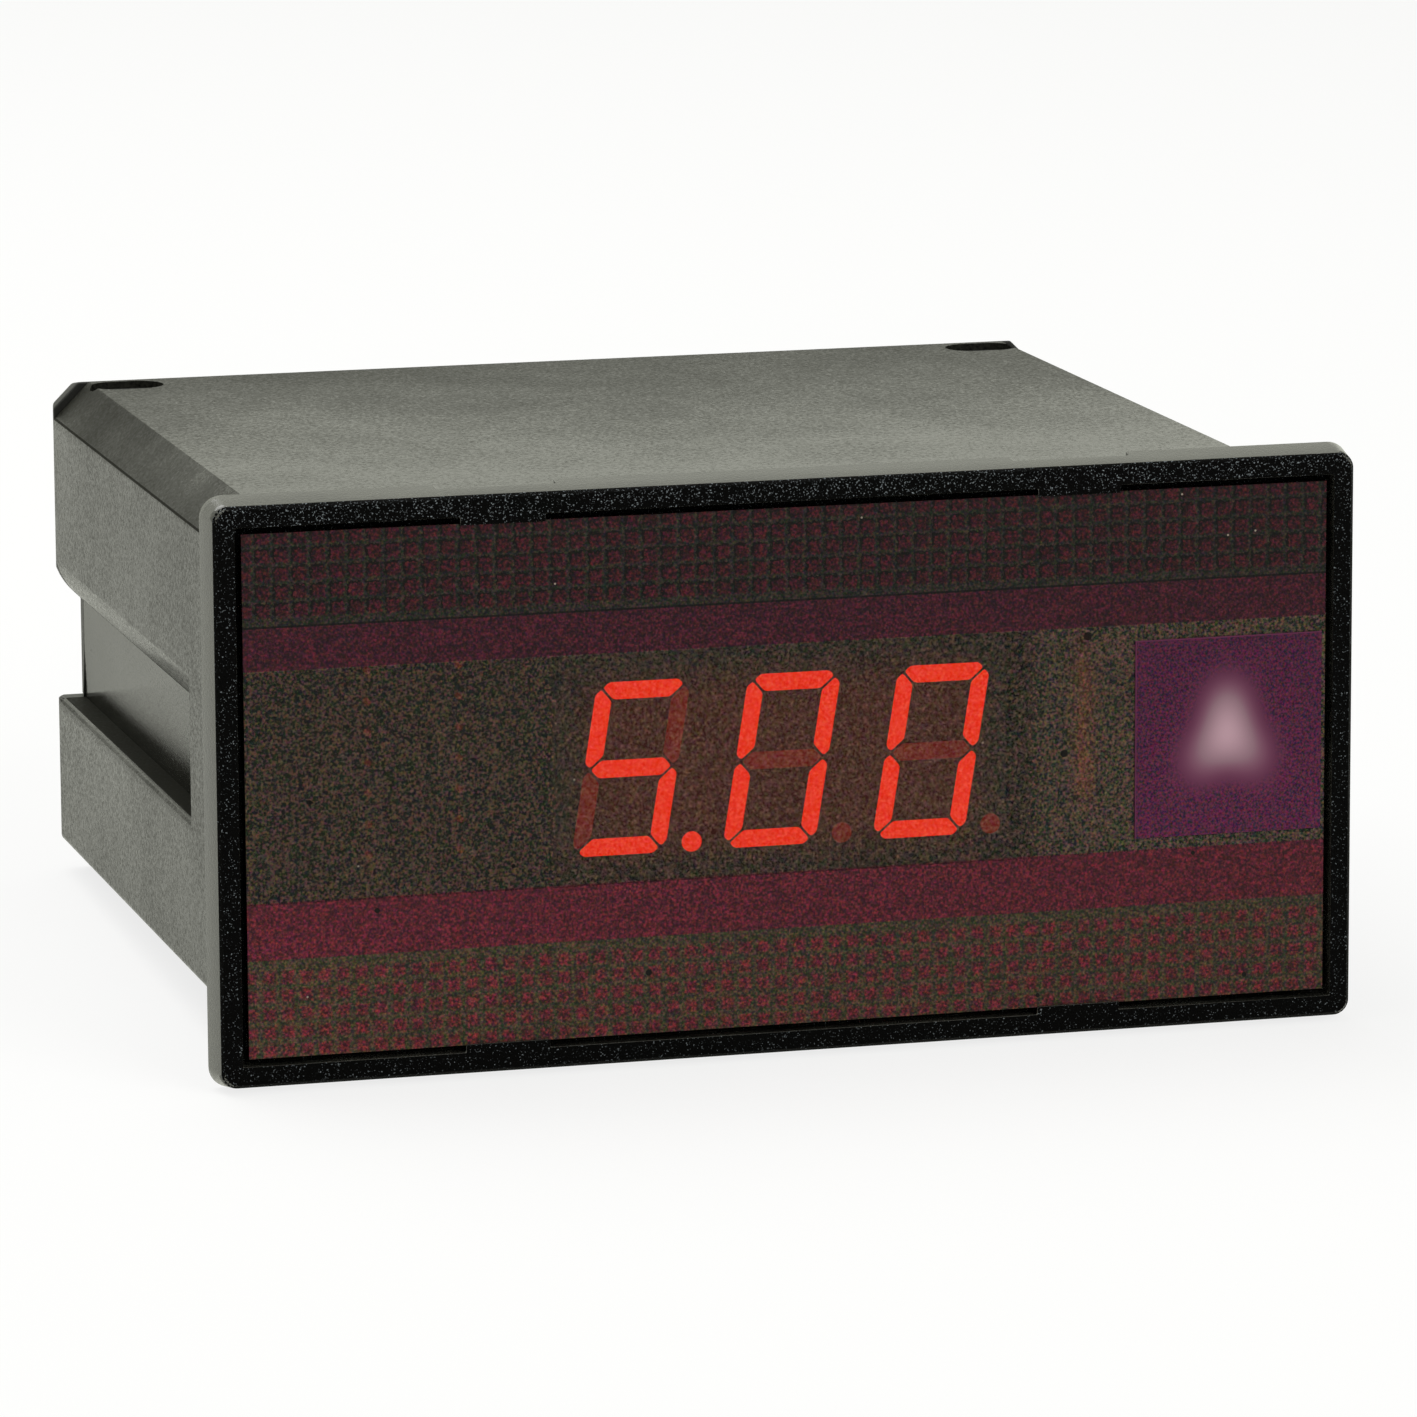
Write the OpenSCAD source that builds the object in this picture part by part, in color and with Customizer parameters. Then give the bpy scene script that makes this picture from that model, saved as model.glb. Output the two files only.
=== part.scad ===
// Digital panel ammeter with a 96 x 48 mm front for a panel cut-out.
// X runs to the right, Y to the rear and Z up. The origin is the middle of
// the bezel's rear face, where it seats on the panel.

/* [Bezel] */
// Width of the bezel
bezel_w = 96; // [90:0.5:110]
// Height of the bezel
bezel_h = 48; // [44:0.5:60]
// Depth of the bezel's rim in front of the panel
bezel_t = 3.2; // [3:0.1:6]
// Narrowing of each side of the rim towards the front
bezel_draft = 0.5; // [0.1:0.05:1]
// Width of the frame seen from the front
bezel_face = 1.75; // [1.2:0.05:3]
// Rounding of the bezel's corners at the panel
bezel_corner_r = 1.8; // [1.7:0.1:2.5]
// Bevel along the front edge of the rim
bezel_bevel = 0.3; // [0.1:0.05:0.6]
// Width of each notch in the rim's rear edge
notch_w = 9.8; // [6:0.1:14]
// Depth of each notch
notch_d = 1; // [0.5:0.1:1.5]
// How far the bezel reaches past the case at each side
overhang_x = 2.75; // [2.2:0.05:5]
// How far the bezel reaches past the case above and below
overhang_z = 2.05; // [1.6:0.05:3]

/* [Window] */
// Gap round the window inside the bezel
window_gap = 0.55; // [0.3:0.05:1.2]
// Thickness of the window plate
window_t = 1.2; // [0.8:0.1:2]
// Thickness of the printed film
film_t = 0.2; // [0.1:0.05:0.4]
// Depth of the film behind the bezel's face
film_recess = 0.3; // [0.2:0.05:0.8]
// Width of each lug that holds the window
lug_w = 7; // [4:0.1:10]
// How far each lug reaches over the film
lug_overlap = 0.1; // [0.05:0.05:0.8]
// Thickness of the bezel's inner flange
flange_t = 0.9; // [0.6:0.1:2]
// Least width of the flange that the window rests on
flange_lip = 1.8; // [1:0.1:3]
// Width of the unit label
label_w = 16; // [10:0.2:18]
// Height of the unit label
label_h = 16.4; // [10:0.2:18]
// Distance of the unit label from the film's right edge
label_inset = 0.35; // [0.1:0.05:2]
// Height of the label's middle above the window's middle
label_rise = 0.6; // [-2:0.1:2]
// Thickness of the unit label
label_t = 0.15; // [0.1:0.05:0.3]

/* [Case] */
// Depth of the case behind the panel
case_l = 76.6; // [68:0.2:110]
// Thickness of the case's walls
wall = 2; // [1.6:0.1:2.4]
// Chamfer along the case's four long edges
chamfer = 3.2; // [2.8:0.05:4]
// Clearance round the case in the bezel's socket
socket_gap = 0.1; // [0.05:0.05:0.3]

/* [Clamp channels] */
// Where the side channels begin behind the panel
channel_start = 18.5; // [16:0.5:30]
// Depth of the side channels
channel_d = 2.4; // [1.8:0.1:3]
// Height of the ledge under the channel, from the middle
channel_low = -6.25; // [-7.5:0.05:-5]
// Height where the upper wall meets the channel's floor
channel_high = 2.5; // [2:0.1:4]
// Radius of the rounded lower edge of the upper wall
lip_r = 6.2; // [5:0.1:8]
// Radius of the ledge's outer edge
ledge_edge_r = 1; // [0.4:0.05:1.4]

/* [Snap fits] */
// Thickness of the bezel's snap tongues
tongue_t = 1.3; // [1:0.1:1.8]
// Width of the bezel's snap tongues
tongue_w = 8; // [5:0.1:10]
// Where the slots for the tongues begin behind the panel
slot_start = 5.5; // [3:0.1:6]
// Depth of the slots along the case
slot_l = 2.6; // [2:0.1:3.5]
// Length of each snap window near the rear corners
snap_w = 6.5; // [5:0.1:8]
// Width of each snap window along the case
snap_l = 4.6; // [3:0.1:5.4]
// Distance of the snap windows from the sides of the case
snap_from_side = 6.05; // [5.5:0.05:12]
// Wall left behind each snap window
snap_rear = 0.8; // [0.6:0.1:3]
// Depth of the catches below the case's outer face
catch_inset = 0.6; // [0.3:0.05:1.2]
// Clearance round snap tongues, catches and the cover's rim
snap_gap = 0.15; // [0.1:0.05:0.3]

/* [Rear cover] */
// Thickness of the rear cover
cover_t = 1.6; // [1.4:0.1:3]
// Narrowing of the cover's edge towards the rear
cover_draft = 0.3; // [0.1:0.05:0.6]
// Chamfer at the cover's upper corners, smaller than the case's
cover_chamfer = 2.3; // [1.6:0.05:2.7]
// Length of the cover's rim inside the case
rim_l = 6; // [5.8:0.1:8]
// Thickness of the cover's rim
rim_t = 1.5; // [1:0.1:2]

/* [Terminals] */
// Distance between terminals
terminal_pitch = 9.5; // [9:0.1:11]
// Thickness of the barriers between terminals
barrier_t = 1.5; // [1:0.1:2]
// Reach of the barriers beyond the terminal plates
barrier_reach = 8; // [7.5:0.1:9]
// Height of the strip
strip_h = 20; // [19:0.5:22]
// Thickness of the strip's base
strip_base_t = 2.8; // [2.4:0.1:4]
// Length of each end of the strip that takes a fixing screw
strip_end = 8; // [7:0.1:10]
// Thickness of the terminal plates
plate_t = 1; // [0.8:0.1:1.2]
// Side of the clamp saddles
saddle_side = 7; // [6.8:0.1:7.2]
// Thickness of the clamp saddles
saddle_t = 1.2; // [0.8:0.1:1.5]
// Diameter of the terminal screws
screw_d = 3.5; // [3:0.1:3.6]
// Length of the terminal screws under the head
screw_l = 4.6; // [4.2:0.1:4.8]
// Diameter of the terminal screws' heads
screw_head_d = 6.6; // [6:0.1:6.8]
// Height of the terminal screws' heads
screw_head_h = 2.4; // [2:0.1:3]
// Running clearance between a screw and its plate
thread_gap = 0.05; // [0.03:0.01:0.08]

/* [Display] */
// Height of the lit digits
digit_h = 14.2; // [12:0.1:15]
// Width of the lit digits
digit_w = 7.8; // [6.5:0.1:8]
// Width of one segment
segment_w = 1.4; // [1.1:0.05:1.6]
// Distance of a segment's tips from its outer edge
segment_tip = 0.42; // [0.4:0.02:0.6]
// Gap between neighbouring segments
segment_gap = 0.22; // [0.16:0.02:0.4]
// How much of each side a segment's rounded corner takes
segment_round = 0.24; // [0.1:0.02:0.28]
// Depth of the segments' resin
segment_t = 1.2; // [0.6:0.1:3]
// Slant of the digits in degrees
digit_slant = 9.2; // [0:0.2:10]
// Gap between the digit modules
module_gap = 0.05; // [0.02:0.01:0.5]
// Width of one digit module
module_w = 12.6; // [12.4:0.05:14]
// Height of one digit module
module_h = 19; // [17.5:0.1:20]
// Depth of one digit module
module_t = 8; // [6:0.1:9]
// Depth of the digits' faces behind the panel
digit_y = 1; // [0.6:0.1:3]
// Diameter of the decimal points
point_d = 1.65; // [1.2:0.05:2]

/* [Boards] */
// Thickness of the circuit boards
board_t = 1.6; // [1:0.1:2]
// Clearance between a board's edges and the case
board_gap = 0.25; // [0.15:0.05:0.5]
// How far the main board lies below the digit modules
board_drop = 2.3; // [2:0.05:3]
// Depth of the guide grooves that hold the boards
groove_d = 2; // [1.2:0.1:2.5]
// Thickness of the guide ribs
rib_t = 1.3; // [1:0.1:1.8]
// Diameter of the boards' pin holes
pin_hole_d = 0.9; // [0.85:0.05:1.1]
// Diameter of round pins
pin_d = 0.5; // [0.4:0.05:0.6]
// Wall of the light box behind the unit label
light_box_wall = 1; // [0.8:0.1:1.4]

/* [Hidden] */
$fn = 48;
terminal_count = 6;
terminals = [0 : terminal_count - 1];
digits = [0 : 2];
// How far cutting shapes run past the faces they cut
past = 1;
sides = [-1, 1];
// Standard distance from pin to pin
pin_pitch = 2.54;

// Case, set by the bezel
case_w = bezel_w - 2 * overhang_x;
case_h = bezel_h - 2 * overhang_z;
tongue_x = bezel_w / 4;
snap_x = case_w / 2 - snap_from_side;

// Planes from front to rear
front_y = -bezel_t;
film_y = front_y + film_recess;
window_y = film_y + film_t;
flange_y = window_y + window_t;
seat_y = flange_y + flange_t;
cover_y = case_l + cover_t;
plate_y = cover_y + strip_base_t;
saddle_y = plate_y + plate_t;
head_y = saddle_y + saddle_t;

// Openings in the bezel
open_w = bezel_w - 2 * (bezel_draft + bezel_face);
open_h = bezel_h - 2 * (bezel_draft + bezel_face);
window_w = open_w - 2 * window_gap;
window_h = open_h - 2 * window_gap;
tongue_top = case_h / 2 - wall - snap_gap;
label_x = (window_w - label_w) / 2 - label_inset;
flange_open_w = min(case_w - 2 * wall, window_w - 2 * flange_lip);
flange_open_h = min(2 * (tongue_top - tongue_t), window_h - 2 * flange_lip);

// Side channels: the upper wall's rounded edge starts at a slight angle
lip_lead = 12;
floor_x = case_w / 2 - channel_d;
lip_reach = lip_r * cos(lip_lead) - channel_d;
lip_z = channel_high + sqrt(pow(lip_r, 2) - pow(lip_reach, 2)) - lip_r * sin(lip_lead);
snap_y = case_l - snap_rear - snap_l / 2;

// Boards
inner_w = case_w - 2 * wall;
board_y = digit_y + module_t;
board_back_y = board_y + board_t;
digit_z = -0.1;
board_top_z = digit_z - module_h / 2 - board_drop;
board_under_z = board_top_z - board_t;
main_board_y = board_back_y + board_gap;
main_board_end = case_l - rim_l - board_gap;
main_board_w = inner_w - 2 * board_gap;
stop_h = 16;

// Terminal strip, hung on the tails that lie on the main board
tail_t = 0.8;
tail_w = 3;
tail_l = 7;
tail_gap = 0.2;
tail_slot_w = tail_w + 2 * tail_gap;
tail_slot_h = tail_t + 2 * tail_gap;
tail_z = board_top_z;
tail_cover = 2.1;
strip_low_z = tail_z - tail_cover;
strip_high_z = strip_low_z + strip_h;
screw_share = 0.55;
screw_z = strip_low_z + strip_h * screw_share;
screw_play = 0.2;
plate_margin = 0.5;
plate_w = terminal_pitch - barrier_t - plate_margin;
strip_screw_x = terminal_count / 2 * terminal_pitch + strip_end / 2;
strip_screw_d = 2.8;
strip_screw_l = 8;
strip_screw_head_d = 5.4;
strip_screw_head_h = 2;
boss_d = 6;
boss_y = case_l - rim_l + 1;
boss_hole_y = plate_y - strip_screw_l - 1;
strip_l = terminal_count * terminal_pitch + barrier_t + 2 * strip_end;
function terminal_x(i) = (i - (terminal_count - 1) / 2) * terminal_pitch;

// Extrudes an outline drawn in X and Z along Y
module along_y(y0, y1) {
  translate([0, y1, 0]) rotate([90, 0, 0]) linear_extrude(y1 - y0) children();
}

// Extrudes an outline drawn in Y and Z along X
module along_x(x0, x1) {
  translate([x0, 0, 0]) rotate([90, 0, 90]) linear_extrude(x1 - x0) children();
}

// Round bar along Y
module bar_y(d, y0, y1) {
  translate([0, y1, 0]) rotate([90, 0, 0]) cylinder(d = d, h = y1 - y0);
}

module box(low, high) {
  translate(low) cube(high - low);
}

// Chamfered section of the case, grown or shrunk evenly
module case_outline(grow = 0, cut = chamfer) {
  w = case_w / 2 + grow;
  h = case_h / 2 + grow;
  c = cut + grow * (2 - sqrt(2));
  polygon([
    [w, c - h], [w, h - c], [w - c, h], [c - w, h],
    [-w, h - c], [-w, c - h], [c - w, -h], [w - c, -h]
  ]);
}

// Section of the space inside the case beside the channels, shrunk by a gap
module cavity_outline(gap = 0) {
  low = channel_low - wall - gap;
  high = lip_z + wall + gap;
  difference() {
    case_outline(-wall - gap);
    for (s = sides)
      translate([s * (floor_x - wall - gap + case_w / 2), (low + high) / 2])
        square([case_w, high - low], center = true);
  }
}

// Section that one channel takes out of the right-hand wall
module channel_outline() {
  difference() {
    translate([floor_x, channel_low]) square([channel_d + past, lip_z - channel_low]);
    translate([case_w / 2 - lip_r * cos(lip_lead), lip_z + lip_r * sin(lip_lead)]) circle(lip_r);
  }
}

// Section that rounds the outer edge of the ledge under the channel
module ledge_edge_outline() {
  inset = ledge_edge_r * cos(lip_lead);
  difference() {
    translate([case_w / 2 - inset, channel_low - inset]) square([inset + past, inset + past]);
    translate([case_w / 2 - inset, channel_low - inset]) circle(ledge_edge_r);
  }
}

module channel_cuts(y0, y1) {
  for (s = [0, 1]) mirror([s, 0, 0]) {
    along_y(y0, y1) channel_outline();
    along_y(y0, y1) ledge_edge_outline();
  }
}

// Slot with round ends, standing on the X-Y plane
module snap_slot(w, l, h) {
  translate([0, 0, h / 2]) cube([w - l, l, h], center = true);
  for (s = sides)
    translate([s * (w - l) / 2, 0, 0]) cylinder(d = l, h = h);
}

// One corner of the rim: a cone with the sides' draft, then one with their bevel
module rim_corner() {
  bevel_r = bezel_corner_r - bezel_draft;
  drafted_t = bezel_t - bezel_bevel;
  rotate([90, 0, 0]) {
    cylinder(r1 = bezel_corner_r, r2 = bevel_r, h = drafted_t);
    translate([0, 0, drafted_t]) cylinder(r1 = bevel_r, r2 = bevel_r - bezel_bevel, h = bezel_bevel);
  }
}

// Rim of the bezel: drafted on all four sides, bevelled in front, rounded corners
module rim_blank() {
  inset = bezel_draft + bezel_bevel;
  straight_w = bezel_w - 2 * bezel_corner_r;
  straight_h = bezel_h - 2 * bezel_corner_r;
  intersection() {
    along_y(front_y, 0) {
      square([straight_w, bezel_h], center = true);
      square([bezel_w, straight_h], center = true);
    }
    linear_extrude(bezel_h, center = true) rim_section(bezel_w / 2, inset);
    along_x(-bezel_w / 2, bezel_w / 2) rotate(90) rim_section(bezel_h / 2, inset, -1);
  }
  for (sx = sides, sz = sides)
    translate([sx * straight_w / 2, 0, sz * straight_h / 2]) rim_corner();
}

// Section of the rim: half its width, and how far the front is drawn in
module rim_section(half, inset, turn = 1) {
  polygon([
    [-half, 0], [half, 0],
    [half - bezel_draft, turn * (front_y + bezel_bevel)], [half - inset, turn * front_y],
    [inset - half, turn * front_y], [bezel_draft - half, turn * (front_y + bezel_bevel)]
  ]);
}

// Tongue that reaches into the case and hooks behind the edge of its slot
module snap_tongue() {
  nose_y = slot_start + snap_gap;
  nose_end = slot_start + slot_l - snap_gap;
  nose_top = case_h / 2 - catch_inset;
  along_x(-tongue_w / 2, tongue_w / 2) polygon([
    [seat_y - flange_t / 2, tongue_top - tongue_t], [nose_end, tongue_top - tongue_t],
    [nose_end, tongue_top], [nose_y + (nose_end - nose_y) / 3, nose_top],
    [nose_y, nose_top], [nose_y, tongue_top], [seat_y - flange_t / 2, tongue_top]
  ]);
}

module front_bezel() {
  color("#161616") {
    difference() {
      rim_blank();
      along_y(front_y - past, flange_y) square([open_w, open_h], center = true);
      along_y(flange_y - past, seat_y + past) square([flange_open_w, flange_open_h], center = true);
      along_y(seat_y, past) case_outline(socket_gap);
      for (sx = sides, sz = sides)
        translate([sx * tongue_x, 0, sz * (case_h / 2 + socket_gap + bezel_h / 2)])
          cube([notch_w, 2 * notch_d, bezel_h], center = true);
    }
    for (sx = sides, sz = [0, 1]) mirror([0, 0, sz]) translate([sx * tongue_x, 0, 0]) {
      box(
        [-lug_w / 2, front_y, open_h / 2 - window_gap - lug_overlap],
        [lug_w / 2, film_y, open_h / 2 + bezel_face / 2]
      );
      snap_tongue();
    }
  }
}

module filter_window() {
  color("#3a2a24") along_y(window_y, flange_y) square([window_w, window_h], center = true);
}

module front_film() {
  color("#4a3a34") along_y(film_y, window_y) square([window_w, window_h], center = true);
}

module unit_label() {
  color("#5a2358") along_y(film_y - label_t, film_y)
    translate([label_x, label_rise]) square([label_w, label_h], center = true);
}

// Guide ribs on one side wall: a groove for the main board, a stop for the display board
module guide_ribs() {
  rib_x = inner_w / 2 - groove_d;
  root_x = inner_w / 2 + wall / 2;
  upper_z = board_top_z + board_gap / 2;
  stop_y = board_back_y + board_gap / 2;
  box([rib_x, main_board_y, board_under_z - rib_t], [root_x, main_board_end, board_under_z]);
  box([rib_x, main_board_y, upper_z], [root_x, main_board_end, upper_z + rib_t]);
  box([rib_x, stop_y, -stop_h / 2], [root_x, stop_y + rib_t, stop_h / 2]);
}

module case() {
  step_y = channel_start - wall;
  color("#1d1d1c") {
    difference() {
      along_y(seat_y, case_l) case_outline();
      along_y(seat_y - past, step_y) case_outline(-wall);
      along_y(step_y - past, case_l + past) cavity_outline();
      channel_cuts(channel_start, case_l + past);
      for (sx = sides, sz = [0, 1]) mirror([0, 0, sz]) {
        translate([sx * snap_x, snap_y, case_h / 2 - 2 * wall]) snap_slot(snap_w, snap_l, 2 * wall + past);
        translate([sx * tongue_x, 0, 0])
          box(
            [-tongue_w / 2 - snap_gap, slot_start, case_h / 2 - wall - past],
            [tongue_w / 2 + snap_gap, slot_start + slot_l, case_h / 2 + past]
          );
      }
    }
    for (s = [0, 1]) mirror([s, 0, 0]) guide_ribs();
  }
}

// Runs its child at each fixing screw of the terminal strip
module at_strip_screws() {
  for (s = sides)
    translate([s * strip_screw_x, 0, screw_z]) children();
}

// Outline of the cover's plate: the case's, with upper corners that stand out past its chamfers
module cover_outline() {
  case_outline();
  intersection() {
    case_outline(0, cover_chamfer);
    translate([-case_w / 2, 0]) square([case_w, case_h / 2]);
  }
}

module rear_cover() {
  color("#141414") difference() {
    union() {
      intersection() {
        along_y(case_l, cover_y) cover_outline();
        linear_extrude(case_h, center = true) cover_section(case_w / 2);
        along_x(-case_w / 2, case_w / 2) rotate(90) cover_section(case_h / 2, -1);
      }
      along_y(case_l - rim_l, case_l + cover_t / 2) difference() {
        cavity_outline(snap_gap);
        cavity_outline(snap_gap + rim_t);
      }
      for (sx = sides, sz = [0, 1]) mirror([0, 0, sz])
        translate([sx * snap_x, snap_y, case_h / 2 - wall - rim_t])
          snap_slot(snap_w - 2 * snap_gap, snap_l - 2 * snap_gap, wall + rim_t - catch_inset);
      at_strip_screws() bar_y(boss_d, boss_y, case_l + cover_t / 2);
    }
    channel_cuts(case_l - past, cover_y + past);
    for (i = terminals)
      translate([terminal_x(i), 0, tail_z + tail_t / 2])
        along_y(case_l - past, cover_y + past) square([tail_slot_w, tail_slot_h], center = true);
    at_strip_screws() bar_y(strip_screw_d + 2 * thread_gap, boss_hole_y, cover_y + past);
  }
}

// Section of the cover's plate, drawn in towards the rear
module cover_section(half, turn = 1) {
  polygon([
    [-half, turn * case_l], [half, turn * case_l],
    [half - cover_draft, turn * cover_y], [cover_draft - half, turn * cover_y]
  ]);
}

module terminal_strip() {
  barrier_y = plate_y + barrier_reach;
  color("#1a1a1a") difference() {
    union() {
      box([-strip_l / 2, cover_y, strip_low_z], [strip_l / 2, plate_y, strip_high_z]);
      for (i = [0 : terminal_count])
        translate([(i - terminal_count / 2) * terminal_pitch, 0, 0])
          box([-barrier_t / 2, cover_y, strip_low_z], [barrier_t / 2, barrier_y, strip_high_z]);
    }
    for (i = terminals) translate([terminal_x(i), 0, 0]) {
      translate([0, 0, screw_z]) bar_y(screw_d + 2 * screw_play, cover_y - past, plate_y + past);
      translate([0, 0, tail_z + tail_t / 2])
        along_y(cover_y - past, plate_y + past) square([tail_slot_w, tail_slot_h], center = true);
    }
    at_strip_screws() bar_y(strip_screw_d + 2 * screw_play, cover_y - past, plate_y + past);
  }
}

// Slotted pan-head screw along Y, its head's underside at y = 0
module pan_screw(d, l, head_d, head_h) {
  rim_h = head_h * 0.6;
  top_d = head_d * 0.75;
  slot_w = d * 0.26;
  difference() {
    union() {
      bar_y(d, -l, rim_h);
      bar_y(head_d, 0, rim_h);
      translate([0, rim_h, 0]) rotate([-90, 0, 0]) cylinder(d1 = head_d, d2 = top_d, h = head_h - rim_h);
    }
    box([-head_d, head_h / 2, -slot_w / 2], [head_d, head_h + past, slot_w / 2]);
  }
}

module strip_screws() {
  color("#b9b9b4") at_strip_screws() translate([0, plate_y, 0])
    pan_screw(strip_screw_d, strip_screw_l, strip_screw_head_d, strip_screw_head_h);
}

module terminal_plates() {
  color("#c2b27a") for (i = terminals) translate([terminal_x(i), 0, 0]) {
    difference() {
      box([-plate_w / 2, plate_y, tail_z], [plate_w / 2, saddle_y, strip_high_z - plate_margin]);
      translate([0, 0, screw_z]) bar_y(screw_d + 2 * thread_gap, plate_y - past, saddle_y + past);
    }
    box([-tail_w / 2, main_board_end - tail_l, tail_z], [tail_w / 2, saddle_y, tail_z + tail_t]);
  }
}

// Clamp saddle with its upper and lower edges turned up
module terminal_saddle(i) {
  half = saddle_side / 2;
  lip = saddle_t * 0.6;
  crease = half - 0.1;
  color("#b4b4ae") translate([terminal_x(i), saddle_y, screw_z]) difference() {
    along_x(-half, half) polygon([
      [0, -half], [0, half], [lip, half + lip], [saddle_t + lip, half + lip],
      [saddle_t, crease], [saddle_t, -crease], [saddle_t + lip, -half - lip], [lip, -half - lip]
    ]);
    bar_y(screw_d + 2 * screw_play, -past, saddle_t + past);
  }
}

module terminal_screw(i) {
  color("#b9b9b4") translate([terminal_x(i), head_y, screw_z])
    pan_screw(screw_d, screw_l, screw_head_d, screw_head_h);
}

// Digit modules
digit_x = 0.07;
digit_pitch = module_w + module_gap;
module_pin_rows = 15.24;
module_pins = [-2 : 2];
pin_tail = 1.2;
point_x = 5.03;
point_z = 0.73 - digit_h / 2;
lit = [["a", "c", "d", "f", "g", "p"], ["a", "b", "c", "d", "e", "f"], ["a", "b", "c", "d", "e", "f"]];
segment_names = ["a", "b", "c", "d", "e", "f", "g", "p"];

// Runs its child in the middle of digit k's face
module at_digit(k) {
  translate([digit_x + (k - 1) * digit_pitch, 0, digit_z]) children();
}

// Corners of the bars in a digit of half width w and half height h before it is slanted:
// bar width t, tips u inside the outer edge, ends e short of the corner they share
function upper_bar(w, h, t, u, e) = [
  [u + e - w, h - u], [2 * u + e - w, h], [w - 2 * u - e, h],
  [w - u - e, h - u], [w - t - e, h - t], [t + e - w, h - t]
];
function left_bar(w, h, t, u, e) = [
  [u - w, e], [-w, u + e], [-w, h - 2 * u - e],
  [u - w, h - u - e], [t - w, h - t - e], [t - w, t - u + e]
];
function middle_bar(w, t, u, e) = [
  [u + e - w, 0], [u + e + t / 2 - w, t / 2], [w - u - e - t / 2, t / 2],
  [w - u - e, 0], [w - u - e - t / 2, -t / 2], [u + e + t / 2 - w, -t / 2]
];
function flip(points, sx, sz) = [for (p = points) [sx * p[0], sz * p[1]]];
function slant(points) = [for (p = points) [p[0] + p[1] * tan(digit_slant), p[1]]];

// Rounds every corner of an outline with a short curve
corner_steps = 3;
function step_to(p, q) = p + segment_round * (q - p) / norm(q - p);
function curve(a, p, b, t) = (1 - t) * (1 - t) * a + 2 * t * (1 - t) * p + t * t * b;
function rounded(points) = let (n = len(points)) [
  for (i = [0 : n - 1], k = [0 : corner_steps])
    let (p = points[i], a = step_to(p, points[(i + n - 1) % n]), b = step_to(p, points[(i + 1) % n]))
    curve(a, p, b, k / corner_steps)
];

module bar_outline(points) {
  polygon(rounded(slant(points)));
}

module segment_outline(name, grow = 0) {
  w = digit_w / 2 + grow;
  h = digit_h / 2 + grow;
  t = segment_w + 2 * grow;
  u = segment_tip + grow;
  e = segment_gap / sqrt(2) - grow * sqrt(2);
  upper = upper_bar(w, h, t, u, e);
  left = left_bar(w, h, t, u, e);
  if (name == "a") bar_outline(upper);
  if (name == "b") bar_outline(flip(left, -1, 1));
  if (name == "c") bar_outline(flip(left, -1, -1));
  if (name == "d") bar_outline(flip(upper, 1, -1));
  if (name == "e") bar_outline(flip(left, 1, -1));
  if (name == "f") bar_outline(left);
  if (name == "g") bar_outline(middle_bar(w, t, u, e));
  if (name == "p") translate([point_x, point_z]) circle(d = point_d + 2 * grow);
}

module digit_body(k) {
  pocket_gap = 0.02;
  color("#2b2723") at_digit(k) difference() {
    box([-module_w / 2, digit_y, -module_h / 2], [module_w / 2, board_y, module_h / 2]);
    for (name = segment_names)
      along_y(digit_y - past, digit_y + segment_t + pocket_gap) segment_outline(name, pocket_gap);
  }
}

module digit_segments(alight) {
  for (k = digits, name = segment_names)
    if (len(search(name, str(lit[k]))) > 0 == alight)
      at_digit(k) along_y(digit_y, digit_y + segment_t) segment_outline(name);
}

module segments_lit() {
  color("#f0391c") digit_segments(true);
}

module segments_unlit() {
  color("#5a2b20") digit_segments(false);
}

// Runs its child at each pin of the three digit modules
module at_module_pins() {
  for (k = digits, i = module_pins, s = sides)
    at_digit(k) translate([i * pin_pitch, 0, s * module_pin_rows / 2]) children();
}

module digit_pins() {
  color("#c8c8c4") at_module_pins() bar_y(pin_d, board_y, board_back_y + pin_tail);
}

// Driver chip on the rear of the display board, its legs showing in front
driver_from_side = 14.45;
driver_x = driver_from_side - inner_w / 2;
driver_w = 6.4;
driver_rows = 7.62;
driver_legs = [-3 : 3];
chip_t = 3.4;
chip_stand = 0.5;
chip_end = 0.6;
driver_h = 7 * pin_pitch + 2 * chip_end;

module at_driver_legs() {
  for (i = driver_legs, s = sides)
    translate([driver_x + s * driver_rows / 2, 0, i * pin_pitch]) children();
}

module driver_chip() {
  body_y = board_back_y + chip_stand;
  leg_y = body_y + chip_t / 2;
  color("#222224") {
    translate([driver_x, 0, 0])
      box([-driver_w / 2, body_y, -driver_h / 2], [driver_w / 2, body_y + chip_t, driver_h / 2]);
    at_driver_legs() bar_y(pin_d, board_y - pin_tail / 2, leg_y);
    for (i = driver_legs) translate([driver_x, leg_y, i * pin_pitch])
      cube([driver_rows + pin_d, pin_d, pin_d], center = true);
  }
}

// Header between the boards
header_pins = 12;
header_pin_d = 0.6;
header_side = 2.54;
header_setback = 3.27;
header_mid_y = main_board_y + header_setback;
header_z = board_top_z + header_side / 2;
header_l = header_pins * pin_pitch;
function header_x(i) = (i - (header_pins - 1) / 2) * pin_pitch;

module board_header() {
  color("#20201f") {
    translate([0, header_mid_y, header_z]) cube([header_l, header_side, header_side], center = true);
    for (i = [0 : header_pins - 1]) translate([header_x(i), 0, 0]) {
      translate([0, 0, header_z]) bar_y(header_pin_d, board_y - pin_tail / 2, header_mid_y);
      translate([0, header_mid_y, board_under_z - pin_tail])
        cylinder(d = header_pin_d, h = header_z - board_under_z + pin_tail);
    }
  }
}

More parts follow.
